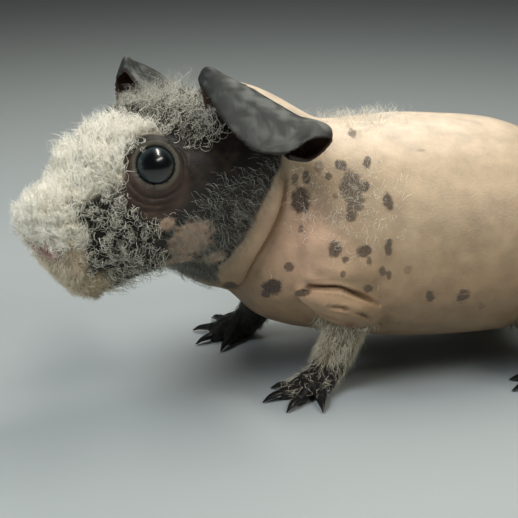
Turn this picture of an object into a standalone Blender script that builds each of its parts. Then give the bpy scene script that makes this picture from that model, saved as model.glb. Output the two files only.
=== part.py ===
"""Life-size still model of a young skinny guinea pig, standing with its head turned to its left.

The body is one loft from rump to nose, parted by thin cuts into torso, neck and head. It is worked out
straight, with the nose towards -X and the left side towards -Y, and turn_head then bends it at the neck.
Legs, feet, claws, ears and eyes are nodes of their own, each cut clear of what it grows from by GAP.
Sizes are in millimetres, and every mesh is made in metres. The floor is z = 0.
"""

import math
import random

import bmesh
import bpy
import numpy as np
from mathutils import Matrix, Vector

MM = 0.001
GAP = 0.3

# Body, along its length from the rump at 0 to the nose
BODY_LENGTH = 168.0
RUMP_X = 82.0
RUMP_CAP = 34.0
RUMP_LEVEL = 38.0
NOSE_CAP = 6.5
NOSE_LEVEL = 51.0
CHIN_RECEDES = 3.2
BODY_SIDES = 36
# Cuts across the body: distance from the rump, turn to the left and lean back, in degrees
TORSO_END = (92.0, 8.0, 12.0)
NECK_END = (105.0, 24.0, 14.0)
# distance from the rump: top, bottom, half width, level of the widest point, and roundness: 1 is an ellipse
BODY_SECTIONS = {
    0.0: (64.0, 12.5, 28.5, 37.0, 0.92),  # rump
    20.0: (66.5, 11.0, 32.0, 36.0, 0.92),  # hips
    42.0: (69.5, 9.8, 34.0, 36.0, 0.92),  # loin
    60.0: (70.7, 10.2, 33.5, 37.0, 0.92),  # ribs
    76.0: (70.0, 12.0, 29.5, 38.0, 0.92),  # chest
    90.0: (71.5, 14.0, 25.5, 42.0, 0.92),  # shoulders
    100.0: (70.7, 16.5, 23.0, 46.0, 0.92),  # neck
    110.0: (67.6, 16.4, 21.0, 49.0, 0.88),  # jowls
    120.0: (67.6, 17.2, 20.5, 51.0, 0.82),  # cheeks
    126.0: (69.0, 20.2, 20.0, 52.0, 0.78),  # throat
    132.0: (69.7, 28.8, 19.2, 53.0, 0.75),  # temples
    139.0: (70.0, 33.5, 17.3, 54.0, 0.74),  # eyes
    147.0: (68.3, 34.5, 14.8, 52.5, 0.77),  # bridge of the nose
    155.0: (65.5, 34.5, 13.0, 50.0, 0.82),  # muzzle
    162.0: (62.5, 34.3, 11.6, 48.5, 0.85),  # nostrils
    168.0: (60.5, 36.6, 10.5, 49.0, 0.88),  # tip, rounded off by the nose cap
}

# Neck bend, about a point on the spine at the back of the skull
HEAD_YAW = 29.0
HEAD_PITCH = 13.0
HEAD_LIFT = 12.5
NECK_PIVOT = (106.0, 55.0)
NECK_BEND = (80.0, 108.0)
# the throat, below this level, follows the head only this much further forward
THROAT_LEVEL = (28.0, 50.0)
THROAT_LAG = 16.0

# Eyes and lids
EYE_RADIUS = 5.4
EYE_PLACE = (138.8, 11.8, 63.3)
EYE_LOOKS = (0.36, 0.85, 0.34)
LID_RADIUS = 5.2
LID_THICK = 0.9
LID_FORWARD = 2.4
# low swelling of the socket round the eye: across the eye twice, then the way that it looks
MOUND_RADII = (9.0, 8.2, 4.6)
MOUND_BACK = 2.6

# Nose and mouth. Nostrils are at distance from the rump, to the left and up; their slits run outwards and
# back from there. Lines on the surface go through (distance from the rump, angle up from the left side).
NOSTRIL = (167.2, 3.3, 51.0)
NOSE_WING = (3.2, 3.2, 3.0)
NOSTRIL_SLIT = ((1.0, -1.6, -1.1), (0.4, -0.2, -0.5), (-0.8, 1.6, 0.6))
NOSTRIL_RADII = (0.7, 1.0, 0.6)
MOUTH_LINE = ((167.4, -90.0), (167.2, -76.0), (166.2, -62.0), (163.5, -50.0), (159.5, -42.0), (155.0, -36.0))
PHILTRUM = ((167.99, -90.0), (167.9, -90.0), (167.4, -90.0))

# Curly fuzz of the head in rounded clumps: number of clumps, distances from the rump, angles up from the left
# side, size against CLUMP_LINE, and the way that the clumps curl over: forward, left and up
FUZZ = {
    "nose": (9, (156.0, 163.0), (35.0, 145.0), 0.9, (0.0, 0.0, 0.6)),
    "bridge": (12, (146.5, 156.5), (40.0, 140.0), 1.05, (0.6, 0.0, 0.5)),
    "brow": (11, (133.0, 146.0), (68.0, 112.0), 1.1, (0.7, 0.0, 0.4)),
    "crown": (7, (119.5, 131.0), (74.0, 106.0), 0.95, (-0.8, 0.0, 0.3)),
}
FUZZ_SEED = 7
FUZZ_SPREAD = 0.618
# A clump from root to tip: out from the skin, along its curl, half width, half thickness
CLUMP_LINE = ((-1.4, 0.0, 2.2, 1.8), (1.0, 0.2, 3.1, 2.6), (2.5, 1.2, 2.5, 2.0), (3.2, 2.2, 0.9, 0.7))

# Ears, as forward, left, up from the neck pivot: lines across an ear from its front edge round to its rear
# lobe, each through the root in the head, the upright wall, the ridge it folds over at and the rim
EAR_LINES = (
    ((13.5, 10.8, 9.5), (14.4, 11.6, 17.5), (15.0, 12.2, 23.6), (15.8, 13.0, 22.4)),
    ((12.5, 11.0, 9.5), (12.4, 12.4, 20.2), (12.8, 13.4, 26.0), (16.2, 15.8, 21.2)),
    ((10.5, 11.5, 9.0), (9.2, 14.0, 18.6), (9.6, 16.8, 22.8), (17.0, 21.0, 16.0)),
    ((7.5, 12.5, 8.0), (4.8, 17.0, 15.0), (5.0, 22.7, 17.3), (15.8, 28.0, 9.2)),
    ((4.5, 13.5, 7.0), (0.5, 21.0, 10.5), (-0.6, 30.3, 10.3), (9.0, 33.4, 6.0)),
    ((3.0, 13.8, 6.2), (-2.3, 22.6, 8.6), (-3.1, 32.0, 9.0), (2.6, 35.2, 7.4)),
    ((1.5, 14.0, 5.5), (-4.5, 24.0, 6.1), (-5.0, 33.5, 6.6), (-2.6, 36.8, 5.3)),
    ((-0.5, 14.5, 4.0), (-2.0, 21.0, 1.6), (-0.4, 28.6, -0.6), (1.6, 32.2, 0.9)),
    ((-1.0, 14.8, 2.5), (0.5, 19.5, 0.4), (2.6, 25.2, 0.4), (4.6, 28.6, 3.0)),
)
EAR_SPLAY = {"left": 0.0, "right": 8.0}
EAR_THICK = 1.3

# Legs and feet: x, y and z as the straight body has them. The left foreleg stands a little further back.
SLEEVE_LEVELS = (52.0, 42.0, 35.5, 32.5, 29.2, 26.6, 25.0)
SLEEVE = {
    "left": ((0.0, -17.0), (0.4, -20.0), (2.2, -23.0), (1.8, -23.4), (1.2, -23.3), (0.4, -23.2), (-0.2, -23.0)),
    "right": ((-6.0, 16.0), (-5.8, 19.0), (-5.2, 21.5), (-5.8, 22.0), (-6.5, 22.0), (-7.4, 22.0), (-8.0, 22.0)),
}
SLEEVE_RADII = ((8.0, 5.0), (12.0, 8.5), (12.7, 8.4), (11.9, 7.4), (13.2, 8.8), (12.4, 8.2), (10.6, 6.8))
FOREARM_LEVELS = (34.0, 24.0, 14.0, 7.0, 3.2)
FOREARM = {
    "left": ((2.0, -21.0), (3.0, -22.0), (1.5, -19.5), (-0.5, -18.0), (-4.0, -19.5)),
    "right": ((-8.0, 21.0), (-9.0, 22.5), (-11.5, 22.0), (-13.5, 22.0), (-17.0, 22.3)),
}
FOREARM_RADII = (6.5, 5.6, 4.9, 4.6, 4.0)
WRIST_HEIGHT = 8.0
FORE_CLAW_TIPS = {
    "left": ((-16.3, -15.9), (-20.2, -23.7), (-15.3, -30.6), (-6.1, -32.6)),
    "right": ((-25.4, 10.8), (-31.7, 17.3), (-30.9, 27.7), (-23.7, 36.0)),
}
THIGH = (63.0, 21.5, 30.5)
THIGH_RADII = (19.0, 12.0, 18.5)
SHANK = ((62.0, 23.0, 28.0), (58.0, 26.5, 18.0), (65.0, 27.5, 12.5), (72.5, 27.8, 8.5), (77.0, 27.5, 4.6))
SHANK_RADII = (9.5, 8.2, 6.4, 5.0, 3.8)
SOLE = ((79.0, 27.0, 3.4), (70.0, 28.5, 3.6), (62.0, 30.0, 3.5))
SOLE_RADII = ((3.4, 4.0), (4.4, 4.2), (5.4, 4.0))
ANKLE_HEIGHT = 9.5
HIND_CLAW_TIPS = ((49.5, 24.5), (47.6, 31.0), (51.5, 36.5))
LEG_SIDES = 12
PALM_RADII = (5.0, 5.2, 3.4)
TOE_RADIUS = 2.1
CLAW_LENGTH = 6.0
CLAW_RADII = (1.15, 1.15, 0.85, 0.25)

SIDES = {"left": 1.0, "right": -1.0}
UP = (0.0, 0.0, 1.0)
NOT_DOMED = (False, False)


def clear_scene():
    """Removes every object that is in the scene."""
    for obj in list(bpy.data.objects):
        bpy.data.objects.remove(obj)


def smooth_keys(keys, values, at):
    """A monotone cubic through values at keys, along their first axis, read at the distances in at."""
    keys, values, at = (np.asarray(x, float) for x in (keys, values, at))
    shape = (-1,) + (1,) * (values.ndim - 1)
    step = np.diff(keys).reshape(shape)
    slope = np.diff(values, axis=0) / step
    product = slope[:-1] * slope[1:]
    inner = np.where(product > 0, 2 * product / np.where(product > 0, slope[:-1] + slope[1:], 1.0), 0.0)
    tangent = np.concatenate([slope[:1], inner, slope[-1:]])
    i = np.clip(np.searchsorted(keys, at) - 1, 0, len(keys) - 2)
    t = ((at - keys[i]) / (keys[i + 1] - keys[i])).reshape(shape)
    return (
        values[i] * (1 + 2 * t) * (1 - t) ** 2
        + step[i] * tangent[i] * t * (1 - t) ** 2
        + values[i + 1] * t * t * (3 - 2 * t)
        - step[i] * tangent[i + 1] * t * t * (1 - t)
    )


def ease(value, low, high):
    """0 below low and 1 above high, with a smooth step between."""
    t = np.clip((np.asarray(value, float) - low) / (high - low), 0.0, 1.0)
    return t * t * (3 - 2 * t)


def rest_point(along, left, up):
    """A point of the straight body as x, y, z: distance from the rump, distance to the left, height."""
    return np.stack(np.broadcast_arrays(RUMP_X - np.asarray(along, float), -np.asarray(left, float), up), -1)


def turn_head(points, stiff=False):
    """Bends straight-body points at the neck. The head turns whole, and so does a stiff piece."""
    points = np.array(points, float)
    pivot = rest_point(NECK_PIVOT[0], 0.0, NECK_PIVOT[1])
    lag = THROAT_LAG * (1 - ease(points[..., 2], *THROAT_LEVEL))
    share = 1.0 if stiff else ease(RUMP_X - points[..., 0] - lag, *NECK_BEND)
    pitch = math.radians(HEAD_PITCH) * share
    yaw = math.radians(HEAD_YAW) * share
    x, y, z = np.moveaxis(points - pivot, -1, 0)
    x, z = x * np.cos(pitch) - z * np.sin(pitch), x * np.sin(pitch) + z * np.cos(pitch)
    x, y = x * np.cos(yaw) - y * np.sin(yaw), x * np.sin(yaw) + y * np.cos(yaw)
    return np.stack([x, y, z + HEAD_LIFT * share], -1) + pivot


def body_rings(along, turn, grow=0.0):
    """Points of the straight body at distances from the rump and angles up from its left, grown by grow."""
    along = np.asarray(along, float)
    table = np.array(list(BODY_SECTIONS.values()))
    keys = list(BODY_SECTIONS)
    top, bottom, half, wide, roundness = smooth_keys(keys, table, along).T[..., None]
    rump = np.clip((RUMP_CAP - along) / RUMP_CAP, 0.0, 1.0)
    nose = np.clip((along - BODY_LENGTH + NOSE_CAP) / NOSE_CAP, 0.0, 1.0)
    cap = (np.sqrt(1 - rump**2) * (1 - nose**3) ** (1 / 3))[:, None]
    level = np.where(along < BODY_LENGTH / 2, RUMP_LEVEL, NOSE_LEVEL)[:, None]
    side = np.sign(np.cos(turn)) * np.abs(np.cos(turn)) ** roundness
    rise = np.sign(np.sin(turn)) * np.abs(np.sin(turn)) ** roundness
    height = wide + np.where(rise > 0, top - wide + grow, wide - bottom + grow) * rise
    left = (half + grow) * side * np.clip(cap, 1e-3, 1.0)
    up = level + (height - level) * np.clip(cap, 1e-3, 1.0)
    back = CHIN_RECEDES * ease(along, 146.0, 166.0)[:, None] * ease(NOSE_LEVEL + 2 - up, 0.0, 14.0)
    return rest_point(along[:, None] - back, left, up)


def body_rows():
    """Distances of the body rings from the rump, close together where a cap rounds the body off."""
    rump = RUMP_CAP * (1 - np.cos(np.linspace(0.05, 1.2, 6)))
    torso = np.linspace(rump[-1] + 6.0, 104.0, 13)
    head = np.linspace(108.0, BODY_LENGTH - NOSE_CAP, 17)
    nose = BODY_LENGTH - NOSE_CAP * (1 - np.sin(np.linspace(0.25, 1.53, 6)))
    return np.concatenate([rump, torso, head, nose])


def new_object(name, vertices, faces, collection):
    """An object with a mesh from millimetre points, with its faces turned outwards."""
    mesh = bpy.data.meshes.new(name)
    mesh.from_pydata((np.asarray(vertices) * MM).tolist(), [], faces)
    bm = bmesh.new()
    bm.from_mesh(mesh)
    bmesh.ops.remove_doubles(bm, verts=bm.verts, dist=0.01 * MM)
    bmesh.ops.recalc_face_normals(bm, faces=bm.faces)
    bmesh.ops.triangulate(bm, faces=bm.faces)
    bm.to_mesh(mesh)
    bm.free()
    obj = bpy.data.objects.new(name, mesh)
    collection.objects.link(obj)
    return obj


def loft(name, rings, collection):
    """A closed solid through rings of equal count, with a fan over each end."""
    rings = np.asarray(rings, float)
    count, sides = rings.shape[:2]
    vertices = np.concatenate([rings.reshape(-1, 3), rings[0].mean(0)[None], rings[-1].mean(0)[None]])
    first, last = count * sides, count * sides + 1
    starts = range(0, (count - 1) * sides, sides)
    faces = []
    for j in range(sides):
        k = (j + 1) % sides
        faces += [(start + j, start + k, start + sides + k, start + sides + j) for start in starts]
        faces += [(first, k, j), (last, starts.stop + j, starts.stop + k)]
    return new_object(name, vertices, faces, collection)


def tube(name, points, radii, sides, collection, flat=None, domed=(True, True), steps=3):
    """A round or flat limb along points. A radius is a number or (across, flat way). Ends may be domed."""
    points = np.asarray(points, float)
    radii = np.array([(r, r) if np.isscalar(r) else r for r in radii], float)
    fine = np.linspace(0, len(points) - 1, steps * (len(points) - 1) + 1)
    keys = np.arange(len(points))
    line = smooth_keys(keys, points, fine)
    size = smooth_keys(keys, radii, fine)
    for end, way in ((0, 1), (-1, -1)):
        if domed[end]:
            inwards = line[end + way] - line[end]
            tip = line[end] - inwards / np.linalg.norm(inwards) * size[end].min()
            share = np.array([[0.25], [0.7]])
            extra = line[end] + (tip - line[end]) * np.sqrt(1 - share**2)
            small = size[end] * share
            line = np.concatenate([extra, line] if end == 0 else [line, extra[::-1]])
            size = np.concatenate([small, size] if end == 0 else [size, small[::-1]])
    tangent = np.gradient(line, axis=0)
    tangent /= np.linalg.norm(tangent, axis=1, keepdims=True)
    across = np.cross(tangent, np.asarray(flat if flat is not None else (0.0, 1.0, 0.05), float))
    across /= np.linalg.norm(across, axis=1, keepdims=True)
    other = np.cross(tangent, across)
    turn = np.linspace(0.0, 2 * math.pi, sides, endpoint=False)
    rings = (
        line[:, None]
        + across[:, None] * (size[:, :1] * np.cos(turn))[..., None]
        + other[:, None] * (size[:, 1:] * np.sin(turn))[..., None]
    )
    return loft(name, rings, collection)


def ball(name, centre, radii, collection, segments=18, turned=None):
    """An ellipsoid from a UV sphere, in millimetres."""
    bm = bmesh.new()
    bmesh.ops.create_uvsphere(bm, u_segments=segments, v_segments=segments // 2, radius=1.0)
    matrix = Matrix.Diagonal(Vector((*np.broadcast_to(radii, 3), 1.0)))
    if turned is not None:
        matrix = turned.to_4x4() @ matrix
    bmesh.ops.transform(bm, matrix=Matrix.Translation(centre) @ matrix, verts=bm.verts)
    vertices = np.array([v.co for v in bm.verts])
    faces = [[v.index for v in f.verts] for f in bm.faces]
    bm.free()
    return new_object(name, vertices, faces, collection)


def keep_largest(obj):
    """Keeps the largest closed surface of the object's mesh and removes the rest."""
    bm = bmesh.new()
    bm.from_mesh(obj.data)
    left = set(bm.verts)
    groups = []
    while left:
        stack = [left.pop()]
        group = list(stack)
        while stack:
            near = {e.other_vert(v) for v in [stack.pop()] for e in v.link_edges} & left
            left -= near
            stack += near
            group += near
        groups.append(group)
    biggest = max(groups, key=len)
    loose = [v for group in groups if group is not biggest for v in group]
    bmesh.ops.delete(bm, geom=loose, context="VERTS")
    bm.to_mesh(obj.data)
    bm.free()


def apply_boolean(obj, operation, collection, solver="MANIFOLD"):
    """Joins the collection's objects to obj, or cuts them from it, and removes them."""
    modifier = obj.modifiers.new(operation.lower(), "BOOLEAN")
    modifier.operation = operation
    modifier.operand_type = "COLLECTION"
    modifier.collection = collection
    modifier.solver = solver
    graph = bpy.context.evaluated_depsgraph_get()
    mesh = bpy.data.meshes.new_from_object(obj.evaluated_get(graph))
    obj.modifiers.clear()
    obj.data = mesh
    for other in list(collection.objects):
        bpy.data.objects.remove(other)
    keep_largest(obj)


def fresh_collection(name):
    """A collection in the scene that helpers are gathered in."""
    collection = bpy.data.collections.new(name)
    bpy.context.scene.collection.children.link(collection)
    return collection


def head_point(forward, left, up):
    """Turned position of a head point given from the neck pivot: forward, to the left and up."""
    along = NECK_PIVOT[0] + np.asarray(forward, float)
    return turn_head(rest_point(along, left, NECK_PIVOT[1] + np.asarray(up, float)), True)


def straight_to_turned(place, looks):
    """Turned position and direction of a head feature given in the straight body."""
    start = rest_point(*place)
    end = rest_point(place[0] + looks[0], place[1] + looks[1], place[2] + looks[2])
    first, second = turn_head(start, True), turn_head(end, True)
    return first, (second - first) / np.linalg.norm(second - first)


def whole_body(name, collection, grow=0.0):
    """The turned body from rump to nose as one closed solid."""
    turn = np.linspace(0.0, 2 * math.pi, BODY_SIDES, endpoint=False)[None, :]
    return loft(name, turn_head(body_rings(body_rows(), turn, grow)), collection)


def between_cuts(obj, start=None, end=None):
    """Shortens a body solid to the length between two cuts across it, GAP / 2 clear of each."""
    for cut, way in ((start, 1.0), (end, -1.0)):
        if cut is not None:
            along, yaw, lean = cut[0], math.radians(cut[1]), math.radians(cut[2])
            point = turn_head(rest_point(along, 0.0, NECK_PIVOT[1]))
            level = math.cos(lean)
            ahead = np.array([-math.cos(yaw) * level, -math.sin(yaw) * level, math.sin(lean)])
            keep_side(obj, point + ahead * way * GAP / 2, ahead * way)


def eye_frame(side):
    """Centre and outward direction of the eye on one side."""
    sign = SIDES[side]
    place = (EYE_PLACE[0], sign * EYE_PLACE[1], EYE_PLACE[2])
    return straight_to_turned(place, (EYE_LOOKS[0], sign * EYE_LOOKS[1], EYE_LOOKS[2]))


def ring(name, centre, axis, radius, thick, collection):
    """A torus round axis, for the lids."""
    bpy.ops.mesh.primitive_torus_add(
        major_radius=radius * MM, minor_radius=thick * MM, major_segments=24, minor_segments=6
    )
    obj = bpy.context.object
    obj.name = name
    turn = Vector(axis).to_track_quat("Z", "Y").to_matrix().to_4x4()
    obj.data.transform(Matrix.Translation(Vector(centre) * MM) @ turn)
    for other in list(obj.users_collection):
        other.objects.unlink(obj)
    collection.objects.link(obj)
    return obj


def surface_line(keys, sides=5, radius=0.5, name="groove", collection=None):
    """A thin tube along the straight body's surface through (distance from the rump, angle in degrees)."""
    keys = np.array(keys, float)
    points = [body_rings(np.array([along]), np.radians([[angle]]))[0, 0] for along, angle in keys]
    return tube(name, turn_head(points, True), [radius] * len(points), sides, collection, steps=1)


def make_fuzz(helpers):
    """Rounded clumps of curly fuzz rooted in the head, each curling over the way its patch of coat lies."""
    chance = random.Random(FUZZ_SEED)
    out_by, curl_by, wide, thick = np.array(CLUMP_LINE).T[..., None]
    for patch, (count, alongs, angles, size, (forward, left, up)) in FUZZ.items():
        for i in range(count):
            along = np.array([np.interp(i + 0.5, (0, count), alongs)])
            turn = np.radians(np.interp([[i * FUZZ_SPREAD % 1.0]], (0, 1), angles))
            here, beside, ahead = (
                body_rings(along + step, turn + swing)[0, 0] for step, swing in ((0, 0), (0, 0.02), (0.3, 0))
            )
            out = np.cross(beside - here, ahead - here)
            out /= np.linalg.norm(out)
            curl = np.array([-forward, chance.uniform(-0.5, 0.5) - left, up])
            grown = size * chance.uniform(0.85, 1.15)
            line = here + (out_by * out + curl_by * curl) * grown
            radii = (np.concatenate([wide, thick], 1) * grown).tolist()
            tube(f"fuzz_{patch}_{i}", turn_head(line, True), radii, 5, helpers, domed=NOT_DOMED, steps=1)


def make_head(parts, helpers):
    """The head with its fuzz, lids round open sockets, nostrils in their wings, and the line of the mouth."""
    head = whole_body("head", parts)
    between_cuts(head, start=NECK_END)
    for side, sign in SIDES.items():
        centre, axis = eye_frame(side)
        ring("lid_" + side, centre + axis * LID_FORWARD, axis, LID_RADIUS, LID_THICK, helpers)
        turned = Vector(axis).to_track_quat("Z", "Y").to_matrix()
        ball("mound_" + side, centre - axis * MOUND_BACK, MOUND_RADII, helpers, 20, turned)
        wing = turn_head(rest_point(NOSTRIL[0] - 2.4, sign * NOSTRIL[1], NOSTRIL[2] + 0.4), True)
        ball("wing_" + side, wing, NOSE_WING, helpers, 14)
    make_fuzz(helpers)
    apply_boolean(head, "UNION", helpers)
    for side, sign in SIDES.items():
        ball("socket_" + side, eye_frame(side)[0], EYE_RADIUS + GAP, helpers, 20)
        along, left, up = np.transpose(np.add(NOSTRIL, NOSTRIL_SLIT))
        slit = turn_head(rest_point(along, sign * left, up), True)
        tube("nostril_" + side, slit, NOSTRIL_RADII, 8, helpers, flat=UP)
        mouth = [(along, angle if sign > 0 else 180.0 - angle) for along, angle in MOUTH_LINE]
        surface_line(mouth, name="mouth_" + side, collection=helpers)
    surface_line(PHILTRUM, name="philtrum", collection=helpers)
    apply_boolean(head, "DIFFERENCE", helpers)
    return head


def ear_sheet(side, lines=21, rows=8):
    """The ear as an open sheet: rows from root to rim on lines from its front edge round to its rear edge."""
    table = np.array(EAR_LINES)
    points = table.shape[1]
    table = smooth_keys(np.arange(len(table)), table, np.linspace(0.0, len(table) - 1.0, lines))
    table = smooth_keys(np.arange(points), table.transpose(1, 0, 2), np.linspace(0.0, points - 1.0, rows))
    forward, left, up = np.moveaxis(table, -1, 0)
    splay = EAR_SPLAY[side] * ease(up, 10.0, 26.0) * ease(forward, 1.0, 11.0)
    return head_point(forward, SIDES[side] * (left + splay), up - 0.3 * splay)


def make_ear(side, parts, helpers):
    """One ear, a solidified sheet whose root is cut clear of the head."""
    grid = ear_sheet(side)
    rows, lines = grid.shape[:2]
    faces = [
        (i * lines + j, i * lines + j + 1, (i + 1) * lines + j + 1, (i + 1) * lines + j)
        for i in range(rows - 1)
        for j in range(lines - 1)
    ]
    ear = new_object("ear_" + side, grid.reshape(-1, 3), faces, parts)
    shell = ear.modifiers.new("thickness", "SOLIDIFY")
    shell.thickness = EAR_THICK * MM
    shell.offset = 0.0
    mesh = bpy.data.meshes.new_from_object(ear.evaluated_get(bpy.context.evaluated_depsgraph_get()))
    ear.modifiers.clear()
    ear.data = mesh
    whole_body("body", helpers, GAP)
    apply_boolean(ear, "DIFFERENCE", helpers)
    return ear


def keep_side(obj, point, normal):
    """Keeps the part of a closed mesh on the side that normal points to, and closes the cut."""
    bm = bmesh.new()
    bm.from_mesh(obj.data)
    geometry = bm.verts[:] + bm.edges[:] + bm.faces[:]
    cut = bmesh.ops.bisect_plane(
        bm, geom=geometry, plane_co=Vector(point) * MM, plane_no=Vector(normal), clear_inner=True
    )
    edges = [e for e in cut["geom_cut"] if isinstance(e, bmesh.types.BMEdge)]
    bmesh.ops.holes_fill(bm, edges=edges)
    bmesh.ops.triangulate(bm, faces=bm.faces)
    bm.to_mesh(obj.data)
    bm.free()


def mirrored(points, side):
    """Points given for the right side, or the same on the left."""
    return [(p[0], -SIDES[side] * p[1], *p[2:]) for p in points]


def make_toes(name, palm, tips, root_height, parts, helpers):
    """Toes from the palm to each claw, left in helpers, and each claw as a node of its own."""
    for i, tip in enumerate(tips, 1):
        way = np.array([*tip, 0.0]) - np.array([*palm[:2], 0.0])
        way /= np.linalg.norm(way)
        tip = np.array([*tip, 0.5])
        nail = tip - way * CLAW_LENGTH + np.array([0, 0, 1.25])
        start = np.array([*palm[:2], root_height])
        knuckle = (start + nail) / 2 + np.array([0, 0, 1.0])
        toe = [start, knuckle, nail - way * 1.5, nail]
        radii = (TOE_RADIUS + 0.5, TOE_RADIUS, TOE_RADIUS - 0.3, TOE_RADIUS - 0.5)
        tube("toe", toe, radii, 6, helpers, domed=NOT_DOMED, steps=2)
        root = nail + way * GAP + np.array([0, 0, 0.2])
        bend = root + way * CLAW_LENGTH * 0.55 - np.array([0, 0, 0.35])
        claw = [root, root + way * 0.6, bend, tip]
        tube(f"claw_{name}_{i}", claw, CLAW_RADII, 7, parts, domed=NOT_DOMED, steps=1)


def make_foreleg(side, parts, helpers, cutters):
    """A foreleg with its loose sleeve of skin, cut from its foot at the wrist."""
    forearm = [(*place, level) for place, level in zip(FOREARM[side], FOREARM_LEVELS)]
    sleeve = [(*place, level) for place, level in zip(SLEEVE[side], SLEEVE_LEVELS)]
    leg = tube("foreleg_" + side, forearm, FOREARM_RADII, LEG_SIDES, parts, steps=2)
    tube("sleeve", sleeve, SLEEVE_RADII, 18, helpers, flat=(0.0, 1.0, 0.0), domed=(True, False), steps=2)
    apply_boolean(leg, "UNION", helpers)
    keep_side(leg, (0, 0, WRIST_HEIGHT + GAP / 2), (0, 0, 1))
    whole_body("body", cutters, GAP)
    apply_boolean(leg, "DIFFERENCE", cutters)
    foot = tube("forefoot_" + side, forearm, FOREARM_RADII, LEG_SIDES, parts, steps=2)
    palm = forearm[-1]
    make_toes("fore_" + side, palm, FORE_CLAW_TIPS[side], 3.4, parts, helpers)
    ball("palm", palm, PALM_RADII, helpers, 12)
    apply_boolean(foot, "UNION", helpers)
    keep_side(foot, (0, 0, WRIST_HEIGHT - GAP / 2), (0, 0, -1))
    keep_side(foot, (0, 0, 0), (0, 0, 1))


def make_hindleg(side, parts, helpers, cutters):
    """A hind leg with its thigh against the flank, cut from its long foot above the heel."""
    leg = tube("hindleg_" + side, mirrored(SHANK, side), SHANK_RADII, LEG_SIDES, parts, steps=2)
    ball("thigh", mirrored([THIGH], side)[0], THIGH_RADII, helpers, 18)
    apply_boolean(leg, "UNION", helpers)
    keep_side(leg, (0, 0, ANKLE_HEIGHT + GAP / 2), (0, 0, 1))
    whole_body("body", cutters, GAP)
    apply_boolean(leg, "DIFFERENCE", cutters)
    foot = tube("hindfoot_" + side, mirrored(SOLE, side), SOLE_RADII, LEG_SIDES, parts, flat=UP, steps=2)
    tube("shank", mirrored(SHANK, side), SHANK_RADII, LEG_SIDES, helpers, steps=2)
    palm = mirrored(SOLE, side)[-1]
    tips = [(x, -SIDES[side] * y) for x, y in HIND_CLAW_TIPS]
    make_toes("hind_" + side, palm, tips, 3.6, parts, helpers)
    apply_boolean(foot, "UNION", helpers)
    keep_side(foot, (0, 0, ANKLE_HEIGHT - GAP / 2), (0, 0, -1))
    keep_side(foot, (0, 0, 0), (0, 0, 1))


MATERIALS = {
    "skin": ((0.72, 0.55, 0.42), 0.55),
    "dark_skin": ((0.10, 0.09, 0.09), 0.6),
    "eye": ((0.02, 0.025, 0.03), 0.05),
    "claw": ((0.02, 0.02, 0.025), 0.3),
}
KINDS = {
    "torso": "skin",
    "neck": "skin",
    "foreleg": "skin",
    "hindleg": "skin",
    "head": "dark_skin",
    "ear": "dark_skin",
    "forefoot": "dark_skin",
    "hindfoot": "dark_skin",
    "eye": "eye",
    "claw": "claw",
}


def paint(obj):
    """Gives an object a material of its own, in the look of its kind, and shades it smooth."""
    kind = KINDS[obj.name.split("_")[0]]
    colour, roughness = MATERIALS[kind]
    material = bpy.data.materials.new(obj.name + "_" + kind)
    material.use_nodes = True
    shader = material.node_tree.nodes["Principled BSDF"]
    shader.inputs["Base Color"].default_value = (*colour, 1.0)
    shader.inputs["Roughness"].default_value = roughness
    obj.data.materials.clear()
    obj.data.materials.append(material)
    obj.data.shade_smooth()
    obj.data.set_sharp_from_angle(angle=math.radians(50))


def stand_on_origin(parts):
    """Moves every part so that the middle of the model's footprint box is at the origin."""
    corners = np.array([v.co for obj in parts.objects for v in obj.data.vertices])
    middle = (corners.min(0) + corners.max(0)) / 2
    for obj in parts.objects:
        obj.data.transform(Matrix.Translation((-middle[0], -middle[1], -corners[:, 2].min())))


def main():
    """Builds every node of the model."""
    clear_scene()
    parts = fresh_collection("skinny_guinea_pig")
    helpers = fresh_collection("helpers")
    cutters = fresh_collection("cutters")
    between_cuts(whole_body("torso", parts), end=TORSO_END)
    between_cuts(whole_body("neck", parts), TORSO_END, NECK_END)
    make_head(parts, helpers)
    for side in SIDES:
        ball("eye_" + side, eye_frame(side)[0], EYE_RADIUS, parts, 14)
        make_ear(side, parts, cutters)
        make_foreleg(side, parts, helpers, cutters)
        make_hindleg(side, parts, helpers, cutters)
    for obj in parts.objects:
        paint(obj)
    stand_on_origin(parts)


main()
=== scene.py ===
"""Looks of a life-size young skinny guinea pig, standing with its head turned to its left.

Lengths are millimetres in the body's own frame: the nose towards -X, the left side towards -Y and the
floor at z = 0. place() takes them to the frame's metres. Shapes are whole numpy arrays: lofts and tubes are
merged into one skin, creased and coloured by formula, and the fuzz grows on that skin as thin tapered hairs.
"""

import logging
import math
from dataclasses import dataclass, field
from enum import Enum

import bpy
import numpy as np
from mathutils import Matrix, Vector


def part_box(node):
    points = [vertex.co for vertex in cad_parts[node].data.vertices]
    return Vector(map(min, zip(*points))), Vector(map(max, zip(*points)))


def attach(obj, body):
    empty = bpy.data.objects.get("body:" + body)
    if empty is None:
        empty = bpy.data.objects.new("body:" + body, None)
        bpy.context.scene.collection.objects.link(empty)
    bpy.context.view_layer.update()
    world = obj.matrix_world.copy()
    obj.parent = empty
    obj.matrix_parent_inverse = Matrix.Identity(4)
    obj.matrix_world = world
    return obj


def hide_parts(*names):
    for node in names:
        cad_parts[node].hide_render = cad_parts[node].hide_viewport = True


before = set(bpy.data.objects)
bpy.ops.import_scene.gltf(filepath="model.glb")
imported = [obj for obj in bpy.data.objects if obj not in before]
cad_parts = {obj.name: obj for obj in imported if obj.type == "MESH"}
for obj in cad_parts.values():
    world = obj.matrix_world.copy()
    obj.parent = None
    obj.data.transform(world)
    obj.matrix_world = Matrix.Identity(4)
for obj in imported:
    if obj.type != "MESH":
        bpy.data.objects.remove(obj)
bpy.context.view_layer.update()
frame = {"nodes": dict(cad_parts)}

MM = 0.001
FAR = 99.0
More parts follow.
